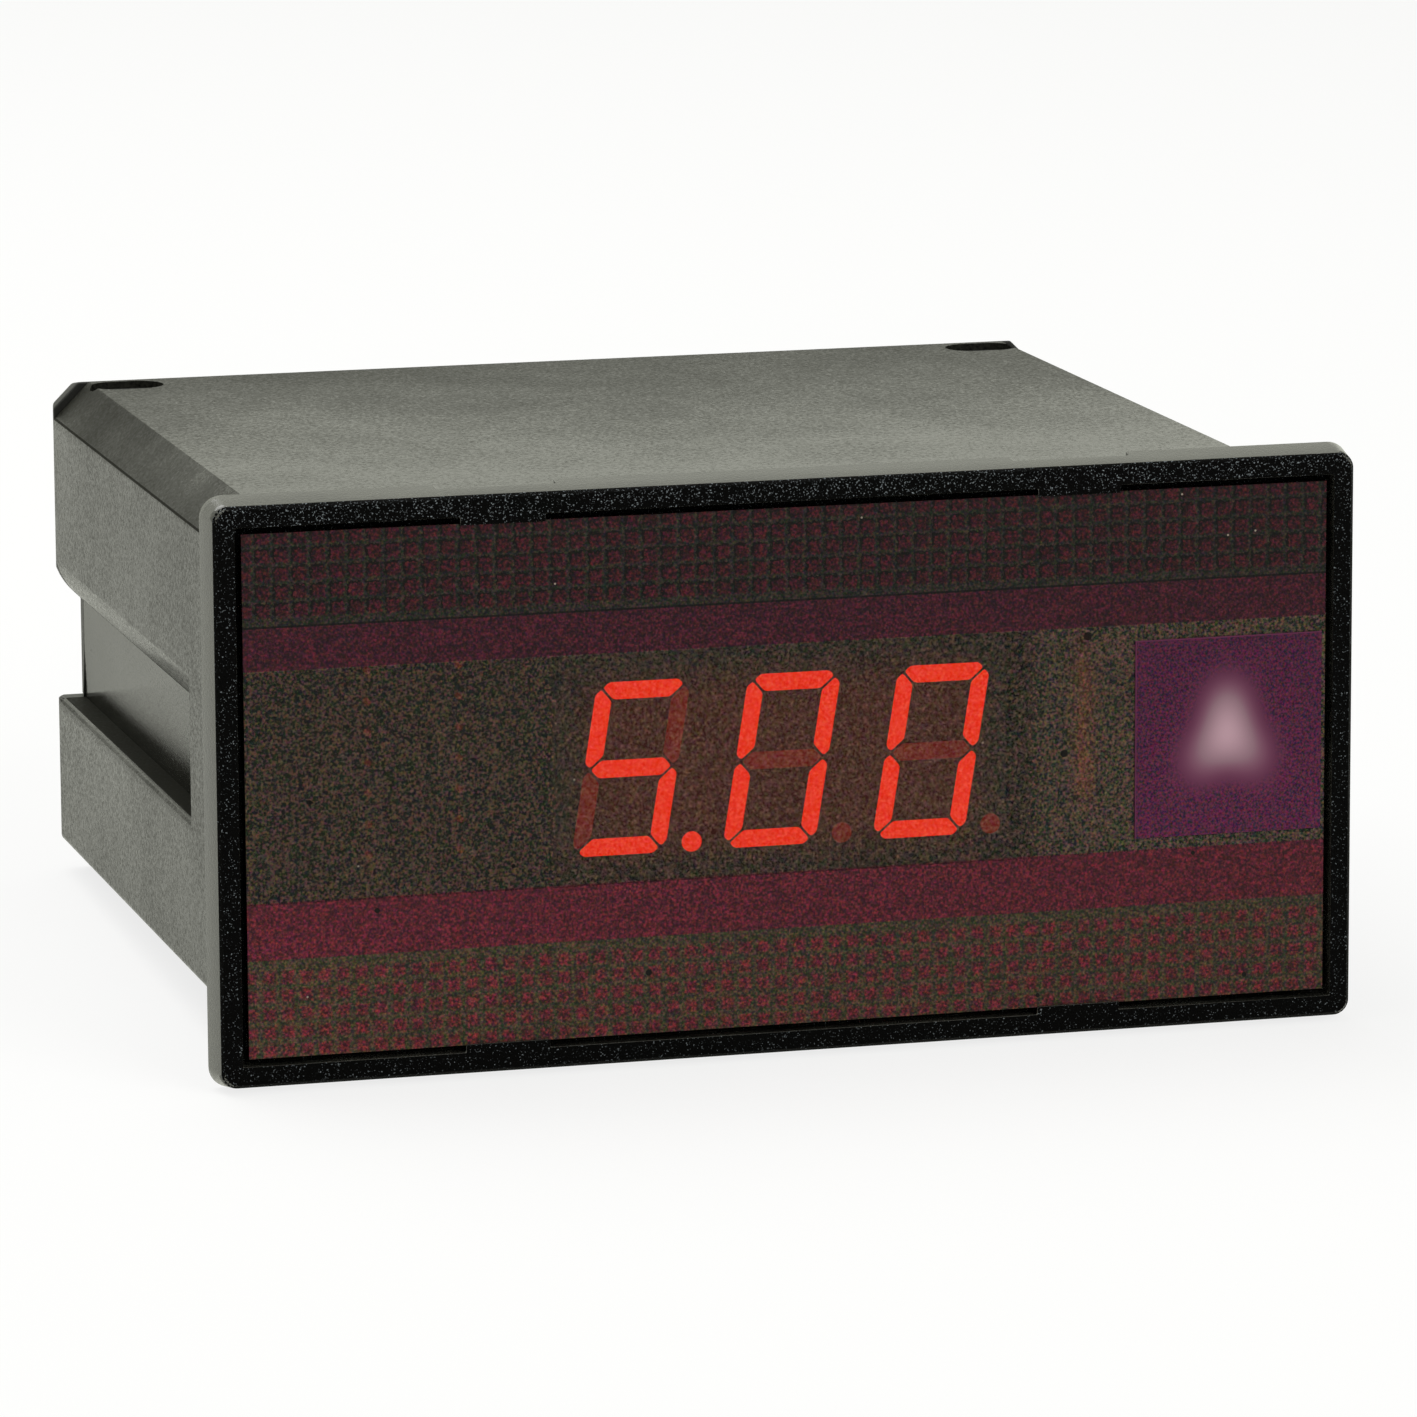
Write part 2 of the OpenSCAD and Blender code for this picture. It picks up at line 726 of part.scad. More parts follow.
module display_board() {
  color("#1c3326") difference() {
    along_y(board_y, board_back_y) intersection() {
      case_outline(-wall - board_gap);
      square([case_w, flange_open_h - 2 * board_gap], center = true);
    }
    at_module_pins() bar_y(pin_hole_d, board_y - past, board_back_y + past);
    at_driver_legs() bar_y(pin_hole_d, board_y - past, board_back_y + past);
    for (i = [0 : header_pins - 1])
      translate([header_x(i), 0, header_z]) bar_y(pin_hole_d, board_y - past, board_back_y + past);
  }
}

module main_board() {
  color("#24402c") difference() {
    box([-main_board_w / 2, main_board_y, board_under_z], [main_board_w / 2, main_board_end, board_top_z]);
    for (i = [0 : header_pins - 1])
      translate([header_x(i), header_mid_y, board_under_z - past])
        cylinder(d = pin_hole_d, h = board_t + 2 * past);
  }
}

// Box round the lamps behind the unit label
module unit_light_box() {
  right = flange_open_w / 2 - board_gap;
  left = label_x - label_w / 2 - light_box_wall;
  w = right - left;
  h = label_h + light_box_wall;
  color("#8d8a80") along_y(flange_y, board_y) translate([(left + right) / 2, label_rise]) difference() {
    square([w, h], center = true);
    square([w - 2 * light_box_wall, h - 2 * light_box_wall], center = true);
  }
}

lamp_d = 4.6;
lamp_h = 5;
lamp_spacing = 6.4;

module unit_lamps() {
  color("#e8e0ec") for (s = sides)
    translate([label_x, board_y, label_rise + s * lamp_spacing / 2]) {
      bar_y(lamp_d, -lamp_h, 0);
      translate([0, -lamp_h, 0]) sphere(d = lamp_d);
    }
}

// Parts on the main board: a front row up to the converter, a rear row before the tails
part_gap = 0.5;
converter_margin = 4;
converter_setback = 17;
chip_legs = 20;
chip_l = chip_legs * pin_pitch + 2 * chip_end;
chip_w = 13.7;
converter_at = [converter_margin + (chip_l - inner_w) / 2, main_board_y + converter_setback, board_top_z];
front_row_end = converter_at[1] + chip_w / 2 + 1.5 * pin_d;
left_margin = 6.75;
strap_w = 4;
strap_end = main_board_end - tail_l - tail_gap;
rear_row_end = strap_end - strap_w - part_gap;

module converter_chip() {
  leg_h = chip_stand + chip_t / 2;
  color("#222224") translate(converter_at) {
    box([-chip_l / 2, -chip_w / 2, chip_stand], [chip_l / 2, chip_w / 2, chip_stand + chip_t]);
    for (i = [0 : chip_legs - 1], s = sides)
      translate([(i - (chip_legs - 1) / 2) * pin_pitch, s * (chip_w / 2 + pin_d / 2), leg_h / 2])
        cube([pin_d, 2 * pin_d, leg_h], center = true);
  }
}

core_w = 30;
core_h = 25;
core_leg = 10;
core_window_w = 5;
core_window_h = 15;
core_margin = 6.25;
coil_overhang = 4.5;
coil_slack = 0.2;
coil_front = front_row_end + part_gap;
coil_rear = main_board_end - tail_l - part_gap;
core_stack = coil_rear - coil_front - 2 * coil_overhang;
core_x = (inner_w - core_w) / 2 - core_margin;
transformer_at = [core_x, (coil_front + coil_rear) / 2, board_top_z + core_h / 2];

module transformer_core() {
  color("#5d5a55") translate(transformer_at) along_y(-core_stack / 2, core_stack / 2) difference() {
    square([core_w, core_h], center = true);
    for (s = sides)
      translate([s * (core_leg + core_window_w) / 2, 0])
        square([core_window_w, core_window_h], center = true);
  }
}

module transformer_coil() {
  coil_w = core_leg + 2 * core_window_w - 2 * coil_slack;
  coil_h = core_window_h - 2 * coil_slack;
  color("#9c5a2c") translate(transformer_at) difference() {
    cube([coil_w, core_stack + 2 * coil_overhang, coil_h], center = true);
    cube([core_leg + 2 * coil_slack, core_stack + 2 * coil_slack, core_h], center = true);
  }
}

// Upright can with a groove rolled in above the foot
module can(d, h) {
  r = d / 2;
  edge = 0.5;
  groove_z = 2.1;
  rotate_extrude() polygon([
    [0, 0], [r - edge, 0], [r, edge], [r, groove_z - edge], [r - edge, groove_z],
    [r, groove_z + edge], [r, h - edge], [r - edge, h], [0, h]
  ]);
}

rectifier_d = 9;
rectifier_h = 5.5;
rectifier_x = left_margin + (rectifier_d - inner_w) / 2;
small_can_d = 8;
small_can_h = 14;
small_can_x = rectifier_x + (rectifier_d + small_can_d) / 2 + part_gap;
main_can_d = 10;
main_can_h = 18;
main_can_x = small_can_x + (small_can_d + main_can_d) / 2 + part_gap;

module filter_capacitors() {
  color("#2a3550") {
    translate([main_can_x, rear_row_end - main_can_d / 2, board_top_z]) can(main_can_d, main_can_h);
    translate([small_can_x, rear_row_end - small_can_d / 2, board_top_z]) can(small_can_d, small_can_h);
  }
}

film_cap_w = 7;
film_cap_t = 4.6;
film_cap_h = 8;
film_cap_gap = 1;

module film_capacitors() {
  x = left_margin - inner_w / 2;
  y = front_row_end + part_gap;
  color("#a8672c") for (i = [0 : 2])
    translate([x + i * (film_cap_w + film_cap_gap), y, board_top_z])
      cube([film_cap_w, film_cap_t, film_cap_h]);
}

module rectifier() {
  color("#1f1f21") translate([rectifier_x, rear_row_end - rectifier_d / 2, board_top_z])
    cylinder(d = rectifier_d, h = rectifier_h);
}

regulator_w = 10;
regulator_h = 9;
regulator_t = 3.2;
regulator_stand = 2;
regulator_tab_h = 15;
regulator_tab_t = 1.3;
regulator_leg_w = 1;
regulator_leg_t = 0.6;
regulator_x = core_x - (core_w + regulator_w) / 2 - part_gap;
regulator_y = front_row_end + part_gap + regulator_t;

// Regulator standing on its three legs, with its metal tab behind
module regulator() {
  half = regulator_w / 2;
  top = regulator_stand + regulator_h;
  tab_top = regulator_stand + regulator_tab_h;
  leg_h = regulator_stand + regulator_leg_t;
  color("#3a3a3c") translate([regulator_x, regulator_y, board_top_z]) {
    box([-half, -regulator_t, regulator_stand], [half, 0, top]);
    box([-half, 0, regulator_stand], [half, regulator_tab_t, tab_top]);
    for (i = [-1 : 1])
      translate([i * pin_pitch, -regulator_t / 2, leg_h / 2])
        cube([regulator_leg_w, regulator_leg_t, leg_h], center = true);
  }
}

resistor_d = 2.4;
resistor_l = 5.8;
resistor_wire_d = 0.6;
resistor_wire_l = 0.9;
resistor_pitch = 3.6;
resistor_margin = 4;
resistor_setback = 4.6;
resistor_row_w = 4 * resistor_pitch + resistor_d;
resistor_x = (inner_w - resistor_row_w) / 2 - resistor_margin;
resistors_at = [resistor_x, main_board_y + resistor_setback, board_top_z + resistor_d / 2];

module resistors() {
  end = resistor_l / 2;
  foot = end + resistor_wire_l;
  color("#7fa5b5") for (i = [-2 : 2]) translate(resistors_at + [i * resistor_pitch, 0, 0]) {
    bar_y(resistor_d, -end, end);
    bar_y(resistor_wire_d, -foot, foot);
    for (s = sides)
      translate([0, s * foot, -resistor_d / 2]) cylinder(d = resistor_wire_d, h = resistor_d / 2);
  }
}

// Strap that joins the tails of the first two terminals, bridging over the board
module input_shunt() {
  x0 = terminal_x(0) - tail_w / 2;
  x1 = terminal_x(1) + tail_w / 2;
  foot = tail_w;
  rise = 5;
  strap_t = 0.9;
  color("#a98f6a") translate([0, 0, board_top_z]) along_y(strap_end - strap_w, strap_end) polygon([
    [x0, 0], [x0 + foot, 0], [x0 + foot, rise], [x1 - foot, rise], [x1 - foot, 0], [x1, 0],
    [x1, strap_t], [x1 - foot + strap_t, strap_t], [x1 - foot + strap_t, rise + strap_t],
    [x0 + foot - strap_t, rise + strap_t], [x0 + foot - strap_t, strap_t], [x0, strap_t]
  ]);
}

// Calibration trimmer: a rotor that turns in a square body
trimmer_side = 9.5;
trimmer_h = 5;
trimmer_margin = 5.5;
trimmer_x = (inner_w - trimmer_side) / 2 - trimmer_margin;
trimmer_at = [trimmer_x, front_row_end - trimmer_side / 2, board_top_z];
rotor_d = 6;
rotor_depth = 2.5;
rotor_rise = 0.4;
rotor_slot_l = 4.8;
rotor_slot_w = 0.8;
rotor_slot_d = 0.8;

module span_trimmer_body() {
  color("#2f5fa8") translate(trimmer_at) difference() {
    box([-trimmer_side / 2, -trimmer_side / 2, 0], [trimmer_side / 2, trimmer_side / 2, trimmer_h]);
    translate([0, 0, trimmer_h - rotor_depth])
      cylinder(d = rotor_d + 2 * thread_gap, h = rotor_depth + past);
  }
}

module span_trimmer_rotor() {
  color("#dcdcd6") translate(trimmer_at) translate([0, 0, trimmer_h - rotor_depth]) difference() {
    cylinder(d = rotor_d, h = rotor_depth + rotor_rise);
    translate([0, 0, rotor_depth + rotor_rise])
      cube([rotor_slot_l, rotor_slot_w, 2 * rotor_slot_d], center = true);
  }
}

front_bezel();
filter_window();
front_film();
unit_label();
case();
rear_cover();
terminal_strip();
strip_screws();
terminal_plates();
for (i = terminals) terminal_saddle(i);
for (i = terminals) terminal_screw(i);
main_board();
display_board();
board_header();
for (k = digits) digit_body(k);
digit_pins();
segments_lit();
segments_unlit();
driver_chip();
unit_light_box();
unit_lamps();
converter_chip();
transformer_core();
transformer_coil();
filter_capacitors();
film_capacitors();
rectifier();
regulator();
resistors();
input_shunt();
span_trimmer_body();
span_trimmer_rotor();
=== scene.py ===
# %% [markdown]
# # A digital panel meter, dressed for the camera
# The meter comes out of the CAD program as plain solids that are already in the right place. This lesson
# gives those solids their looks: rounded edges, moulded plastic, a printed front and glowing digits.
# We load the solids first and keep the size of their box.

import math

import bpy
from mathutils import Matrix, Vector


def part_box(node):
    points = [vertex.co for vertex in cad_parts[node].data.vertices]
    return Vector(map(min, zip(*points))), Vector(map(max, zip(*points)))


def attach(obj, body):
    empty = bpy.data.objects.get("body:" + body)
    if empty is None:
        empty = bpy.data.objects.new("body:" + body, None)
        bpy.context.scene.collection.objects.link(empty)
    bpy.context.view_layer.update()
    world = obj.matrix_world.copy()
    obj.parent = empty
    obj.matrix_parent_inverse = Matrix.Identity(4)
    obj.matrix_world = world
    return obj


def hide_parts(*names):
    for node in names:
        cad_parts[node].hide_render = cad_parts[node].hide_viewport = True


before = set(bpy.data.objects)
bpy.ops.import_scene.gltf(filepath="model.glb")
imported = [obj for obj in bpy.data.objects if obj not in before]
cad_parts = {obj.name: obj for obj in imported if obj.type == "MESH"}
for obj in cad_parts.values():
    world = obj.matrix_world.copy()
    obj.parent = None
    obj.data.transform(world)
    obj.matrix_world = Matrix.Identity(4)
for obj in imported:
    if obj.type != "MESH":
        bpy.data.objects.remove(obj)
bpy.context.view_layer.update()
scene = bpy.context.scene

# %% [markdown]
# ## The camera
# A product photograph is taken from far away with a long lens, so that the far end of the box hardly
# shrinks. We could place the camera by eye. Here its place was worked out from the corners of the meter,
# so it is written as the angles and the distance that a photographer would set on a tripod.

# %% Camera
MM = 0.001
VIEW_YAW = math.radians(15.155)
VIEW_PITCH = math.radians(10.772)
VIEW_ROLL = math.radians(-0.314)
VIEW_DISTANCE = 658.88 * MM
VIEW_SIDEWAYS = 6.158 * MM
VIEW_UP = -4.194 * MM
SENSOR_MM = 36.0
FOCAL_PIXELS = 8136.5
PICTURE_PIXELS = 1417
LENS_MM = FOCAL_PIXELS / PICTURE_PIXELS * SENSOR_MM
CLIP_NEAR = 10 * MM

look = Vector((math.sin(VIEW_YAW) * math.cos(VIEW_PITCH),
               math.cos(VIEW_YAW) * math.cos(VIEW_PITCH),
               -math.sin(VIEW_PITCH)))
level = Vector((math.cos(VIEW_YAW), -math.sin(VIEW_YAW), 0))
upright = level.cross(look)
right = level * math.cos(VIEW_ROLL) + upright * math.sin(VIEW_ROLL)
up = upright * math.cos(VIEW_ROLL) - level * math.sin(VIEW_ROLL)
place = -(right * VIEW_SIDEWAYS + up * VIEW_UP + look * VIEW_DISTANCE)

bpy.ops.object.camera_add()
camera = bpy.context.object
camera.data.lens = LENS_MM
camera.data.sensor_width = SENSOR_MM
camera.data.clip_start = CLIP_NEAR
turn = Matrix((right, up, -look)).transposed().to_4x4()
camera.matrix_world = Matrix.Translation(place) @ turn
scene.camera = camera
print("camera at", [round(v, 4) for v in place], "lens", round(LENS_MM, 1), "mm")

# %% [markdown]
# ## Colours and nodes
# Colours are written as the hex values that a paint program shows. Blender counts in linear light, so one
# function turns them round. A second small function adds a node, sets it and links it, which keeps each
# material below as short as its recipe.

# %% Two helpers for materials
def linear(hex_colour):
    values = [int(hex_colour[i:i + 2], 16) / 255 for i in (1, 3, 5)]
    return [v / 12.92 if v <= 0.04045 else ((v + 0.055) / 1.055) ** 2.4 for v in values] + [1.0]


def add(tree, kind, sockets=None, **settings):
    node = tree.nodes.new(kind)
    for name, value in settings.items():
        setattr(node, name, value)
    for socket, value in (sockets or {}).items():
        if isinstance(value, bpy.types.NodeSocket):
            tree.links.new(value, node.inputs[socket])
        else:
            node.inputs[socket].default_value = value
    return node


print("a mid grey is", [round(v, 3) for v in linear("#808080")[:3]], "in linear light")

# %% [markdown]
# ## The studio
# The meter stands on a pale table. Its front frame hangs lower than its case, so it rests on the bottom
# edge of the frame and on the rear edge of the case, and the table is laid through those two edges. The
# background is white for the camera and for reflections, while a weaker white lights the meter softly. The
# table could be lit until it looks as white. It gets a share of white of its own instead, and keeps a shadow.

# %% White surroundings
scene.view_settings.view_transform = "Standard"
ROOM_LIGHT = 0.35
ROOM_COLOUR = "#fdfff0"


def seen_white(tree):
    path = add(tree, "ShaderNodeLightPath")
    eye = path.outputs["Is Camera Ray"]
    seen = add(tree, "ShaderNodeMath", {0: eye, 1: path.outputs["Is Glossy Ray"]}, operation="MAXIMUM")
    seen = add(tree, "ShaderNodeMath", {0: seen.outputs[0], 1: path.outputs["Is Transmission Ray"]},
               operation="MAXIMUM")
    colour = add(tree, "ShaderNodeMix", {0: eye, 6: linear(ROOM_COLOUR), 7: linear("#ffffff")},
                 data_type="RGBA")
    return seen.outputs[0], colour.outputs[2]


world = bpy.data.worlds.new("white_room")
world.use_nodes = True
scene.world = world
tree = world.node_tree
tree.nodes.clear()
seen, colour = seen_white(tree)
strength = add(tree, "ShaderNodeMapRange", {"Value": seen, "To Min": ROOM_LIGHT, "To Max": 1.0})
glow = add(tree, "ShaderNodeBackground", {"Color": colour, "Strength": strength.outputs[0]})
add(tree, "ShaderNodeOutputWorld", {"Surface": glow.outputs[0]})
print("room light:", ROOM_LIGHT)

# %% The table
FLOOR_SIZE = 6.0
OWN_WHITE = 0.8
frame_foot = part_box("front_bezel")[0].z
case_low, case_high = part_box("case")
tilt = math.atan2(case_low.z - frame_foot, case_high.y)

bpy.ops.object.select_all(action="DESELECT")
bpy.ops.mesh.primitive_plane_add(size=FLOOR_SIZE, location=(0, 0, frame_foot), rotation=(tilt, 0, 0))
table = bpy.context.object
table.name = "pale_table"
paint = bpy.data.materials.new("matt_white_table")
paint.use_nodes = True
tree = paint.node_tree
tree.nodes.clear()
seen, colour = seen_white(tree)
share = add(tree, "ShaderNodeMath", {0: seen, 1: OWN_WHITE}, operation="MULTIPLY")
matt = add(tree, "ShaderNodeBsdfDiffuse", {"Color": linear("#f4f4f2")})
white = add(tree, "ShaderNodeEmission", {"Color": colour, "Strength": 1.0})
mixed = add(tree, "ShaderNodeMixShader", {0: share.outputs[0], 1: matt.outputs[0], 2: white.outputs[0]})
add(tree, "ShaderNodeOutputMaterial", {"Surface": mixed.outputs[0]})
table.data.materials.append(paint)
print("table tilt:", round(math.degrees(tilt), 2), "degrees")

# %% Lamps
# name, place and size in metres, watts
lamp_list = [
    ("overhead_softbox", (-0.25, 0.30, 0.85), 0.80, 7.0),
    ("front_softbox", (0.45, -0.80, 0.55), 0.60, 4.0),
]
for name, spot, size, watts in lamp_list:
    bpy.ops.object.light_add(type="AREA", location=spot)
    lamp = bpy.context.object
    lamp.name = name
    lamp.data.size = size
    lamp.data.energy = watts
    lamp.rotation_euler = (-Vector(spot)).to_track_quat("-Z", "Y").to_euler()
print("lamps:", [entry[0] for entry in lamp_list])

# %% [markdown]
# ## Moulded plastic
# Most of the meter is ABS, moulded in a steel tool. The tool's skin was etched, so the plastic shows a fine
# grain, and it leaves the tool with cloudy patches where it cooled at different speeds. It could be one flat
# colour with one gloss, but that looks like a drawing. One function mixes three things instead: a cloudy
# colour, a grain in the bump and an uneven gloss. The grain is drawn coarse enough to show.

# %% Moulded plastic
def begin(name):
    made = bpy.data.materials.new(name)
    made.use_nodes = True
    made.node_tree.nodes.clear()
    spot = add(made.node_tree, "ShaderNodeTexCoord")
    return made, made.node_tree, spot.outputs["Object"]


def close(tree, shader):
    add(tree, "ShaderNodeOutputMaterial", {"Surface": shader.outputs[0]})


def moulded(name, dark, light, cloud_mm, grain_mm, grain_depth_mm, gloss, **fixed):
    made, tree, spot = begin(name)
    cloud = add(tree, "ShaderNodeTexNoise",
                {"Vector": spot, "Scale": 1 / (cloud_mm * MM), "Detail": 4.0, "Roughness": 0.6})
    grain = add(tree, "ShaderNodeTexNoise",
                {"Vector": spot, "Scale": 1 / (grain_mm * MM), "Detail": 2.0, "Roughness": 0.6})
    blend = add(tree, "ShaderNodeMath", {0: cloud.outputs[0], 1: grain.outputs[0]}, operation="ADD")
    # most of the sum of the two noises lies between these ends
    span = {"Value": blend.outputs[0], "From Min": 0.7, "From Max": 1.3}
    tone = add(tree, "ShaderNodeMapRange", span)
    colour = add(tree, "ShaderNodeMix", {0: tone.outputs[0], 6: linear(dark), 7: linear(light)},
                 data_type="RGBA")
    rough = add(tree, "ShaderNodeMapRange", {**span, "To Min": gloss[0], "To Max": gloss[1]})
    bump = add(tree, "ShaderNodeBump",
               {"Height": grain.outputs[0], "Distance": grain_depth_mm * MM, "Strength": 1.0})
    shader = add(tree, "ShaderNodeBsdfPrincipled",
                 {"Base Color": colour.outputs[2], "Roughness": rough.outputs[0],
                  "Normal": bump.outputs[0], **fixed})
    close(tree, shader)
    return made


# black ABS from a polished tool wall: a bright, uneven gloss on the narrow edges of the front frame
frame_abs = moulded("smooth_black_abs", "#0e0e0d", "#3e3e38", 9, 0.22, 0.034, (0.02, 0.32),
                    **{"Specular IOR Level": 0.8})
# black nylon, a little waxier than the case
cover_nylon = moulded("black_nylon", "#0c0c0c", "#171715", 10, 0.3, 0.010, (0.40, 0.55),
                      **{"Specular IOR Level": 0.3})
# phenolic moulding powder with pale filler specks
strip_phenolic = moulded("black_phenolic", "#181615", "#2a2725", 5, 0.18, 0.012, (0.45, 0.60))
print("moulded plastics:", [m.name for m in (frame_abs, cover_nylon, strip_phenolic)])

# %% [markdown]
# ## The case's plastic
# The case mirrors the white room at its flat angles, which turns the black plastic grey. Polished walls
# mirror well. The chamfers, the floors of the clamp channels and the foot of the chamfers get copies that
# mirror less, so
# they stay darker: this darkness is painted shade. One function makes all four skins, with the roughness as
# its knob. Clouds, grain, the worn rear of the roof and a dull seam behind the frame are added to it.

# %% Case plastic
CLOUD_MM, SKIN_MM, SKIN_DEPTH_MM = 14, 0.28, 0.013
WORN_FROM, WORN_TO = 10 * MM, 76 * MM
FLANK_TOP, ROOF_LOW = 18 * MM, 21.5 * MM
SEAM = 0.35 * MM


# polish: the roughness before clouds and grain are added, so that a polished skin starts below zero
def case_plastic(name, polish, mirror, blotch=0.22):
    made, tree, spot = begin(name)
    cloud = add(tree, "ShaderNodeTexNoise",
                {"Vector": spot, "Scale": 1 / (CLOUD_MM * MM), "Detail": 5.0, "Roughness": 0.62})
    grain = add(tree, "ShaderNodeTexNoise",
                {"Vector": spot, "Scale": 1 / (SKIN_MM * MM), "Detail": 2.0, "Roughness": 0.7})
    axes = add(tree, "ShaderNodeSeparateXYZ", {0: spot})
    rearward = add(tree, "ShaderNodeMapRange",
                   {"Value": axes.outputs[1], "From Min": WORN_FROM, "From Max": WORN_TO})
    rise = {"Value": axes.outputs[2], "From Min": FLANK_TOP, "From Max": ROOF_LOW}
    upper = add(tree, "ShaderNodeMapRange", {**rise, "To Min": -0.02, "To Max": 0.26})
    flank = add(tree, "ShaderNodeMapRange", {**rise, "To Min": polish + 0.10, "To Max": polish})
    seam = add(tree, "ShaderNodeMath", {0: axes.outputs[1], 1: SEAM}, operation="LESS_THAN")
    rough = add(tree, "ShaderNodeMath", {0: cloud.outputs[0], 1: blotch, 2: flank.outputs[0]},
                operation="MULTIPLY_ADD")
    for wear, share in ((rearward, upper.outputs[0]), (seam, 0.5), (grain, 0.8)):
        rough = add(tree, "ShaderNodeMath", {0: wear.outputs[0], 1: share, 2: rough.outputs[0]},
                    operation="MULTIPLY_ADD")
    tone = add(tree, "ShaderNodeMapRange", {"Value": grain.outputs[0], "From Min": 0.3, "From Max": 0.7})
    colour = add(tree, "ShaderNodeMix", {0: tone.outputs[0], 6: linear("#050505"), 7: linear("#2a2a24")},
                 data_type="RGBA")
    bump = add(tree, "ShaderNodeBump",
               {"Height": grain.outputs[0], "Distance": SKIN_DEPTH_MM * MM, "Strength": 1.0})
    shader = add(tree, "ShaderNodeBsdfPrincipled",
                 {"Base Color": colour.outputs[2], "Roughness": rough.outputs[0],
                  "Specular IOR Level": mirror, "Normal": bump.outputs[0]})
    close(tree, shader)
    return made


# black ABS from a finely etched tool: a satin skin that turns grey where it mirrors the white room
case_abs = case_plastic("satin_black_abs", -0.32, 0.09)
# the same ABS with a weaker, blotchier mirror for the chamfers: they keep more of their black as painted
# shade
chamfer_shade_abs = case_plastic("chamfer_shade_black_abs", -0.4, 0.06, 0.6)
# the back walls of the clamp channels, polished by the slide in the tool: a clear but weak mirror
slid_abs = case_plastic("polished_black_abs", -0.5, 0.035)
# the floors of the channels and the foot of the chamfers: a dull copy that stays black as painted shade
deep_shade_abs = case_plastic("deep_shade_black_abs", 0.1, 0.03)
print("case plastics:", [m.name for m in (case_abs, chamfer_shade_abs, slid_abs, deep_shade_abs)])

# %% [markdown]
# ## The frame's face
# The frame's face came from a spark-eroded tool. It is almost black, and single grains glitter in it, more of
# them on the upper bar, which faces the light.
# Real grains could be modelled, but there are thousands. Only the peaks of a fine noise are let into the
# colour instead, as painted
# glints: pale specks, more and brighter on the upper bar, drawn coarse enough to show.

# %% The frame's face
SPARK_MM, SPARK_DEPTH_MM = 0.15, 0.10
SIDE_BAR, TOP_BAR = 19 * MM, 23 * MM
face_abs, tree, spot = begin("spark_grain_black_abs_painted_glints")
grain = add(tree, "ShaderNodeTexNoise",
            {"Vector": spot, "Scale": 1 / (SPARK_MM * MM), "Detail": 1.0, "Roughness": 0.6})
height = add(tree, "ShaderNodeSeparateXYZ", {0: spot}).outputs[2]
rise = {"Value": height, "From Min": SIDE_BAR, "From Max": TOP_BAR}
# painted glints: more of them and brighter on the upper bar, which faces the light
edge = add(tree, "ShaderNodeMapRange", {**rise, "To Min": 0.655, "To Max": 0.61})
peak = add(tree, "ShaderNodeMapRange", {**rise, "To Min": 0.6, "To Max": 0.85})
painted_glint = add(tree, "ShaderNodeMapRange",
            {"Value": grain.outputs[0], "From Min": edge.outputs[0], "From Max": 0.78,
             "To Max": peak.outputs[0]})
colour = add(tree, "ShaderNodeMix", {0: painted_glint.outputs[0], 6: linear("#050505"), 7: linear("#9aa2a8")},
             data_type="RGBA")
bump = add(tree, "ShaderNodeBump",
           {"Height": grain.outputs[0], "Distance": SPARK_DEPTH_MM * MM, "Strength": 1.0})
# black ABS from a coarsely spark-eroded tool: a dark face, with painted glints as pale specks in its colour
shader = add(tree, "ShaderNodeBsdfPrincipled",
             {"Base Color": colour.outputs[2], "Roughness": 0.5, "Specular IOR Level": 0.02,
              "Normal": bump.outputs[0]})
close(tree, shader)
print("frame face:", face_abs.name, "with grains of", SPARK_MM, "mm")

# %% [markdown]
# ## The printed film
# The front is a thin film with a pattern printed on its back: two wine-red stripes and two bands of small
# squares on a brown-grey ground that lets the light of the digits through. A thin dark line along the top of
# the upper stripe and dark edges above its squares are painted shadow. It could be painted as a picture.
# Drawn from
# sums it stays sharp at any size: heights become colours in a ramp, and a brick texture without offset gives
# the squares.

# %% Film: coordinates in millimetres
def sheet_places(tree, spot):
    millimetres = add(tree, "ShaderNodeVectorMath", {0: spot, "Scale": 1000.0}, operation="SCALE")
    axes = add(tree, "ShaderNodeSeparateXYZ", {0: millimetres.outputs[0]})
    across, height = axes.outputs[0], axes.outputs[2]
    flat = add(tree, "ShaderNodeCombineXYZ", {0: across, 1: height, 2: 0.0})
    return across, height, flat.outputs[0]


film_print, tree, spot = begin("screen_printed_film")
across, height, sheet = sheet_places(tree, spot)
film_low, film_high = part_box("front_film")
print("film across, deep and high:", [round(v / MM, 2) for v in film_high - film_low], "mm")

# %% Film: the stripes and a painted shadow line
FILM_EDGE = 22.0
# lower end in mm, colour, and how far the ink calms the film's grain
STRIPES_AND_SHADOW_LINE = [
    (-22.0, "#453d2f", 0.2),
    (-13.4, "#5d2430", 0.3),
    (-8.75, "#4e4339", 0.0),
    (10.1, "#461d2a", 0.25),
    # a thin dark line along the top of the upper stripe: painted shadow
    (13.5, "#141011", 0.0),
    (13.66, "#312d28", 0.1),
]
share = add(tree, "ShaderNodeMapRange", {"Value": height, "From Min": -FILM_EDGE, "From Max": FILM_EDGE})
layers = []
for colours in ([linear(row[1]) for row in STRIPES_AND_SHADOW_LINE], [(row[2], row[2], row[2], 1) for row in STRIPES_AND_SHADOW_LINE]):
    ramp = add(tree, "ShaderNodeValToRGB", {0: share.outputs[0]})
    ramp.color_ramp.interpolation = "CONSTANT"
    stops = ramp.color_ramp.elements
    stops.remove(stops[1])
    stops[0].position = 0.0
    for row, colour in zip(STRIPES_AND_SHADOW_LINE[1:], colours[1:]):
        stops.new((row[0] + FILM_EDGE) / (2 * FILM_EDGE)).color = colour
    stops[0].color = colours[0]
    layers.append(ramp.outputs[0])
ground, calm = layers
print("steps of colour up the film:", len(STRIPES_AND_SHADOW_LINE))
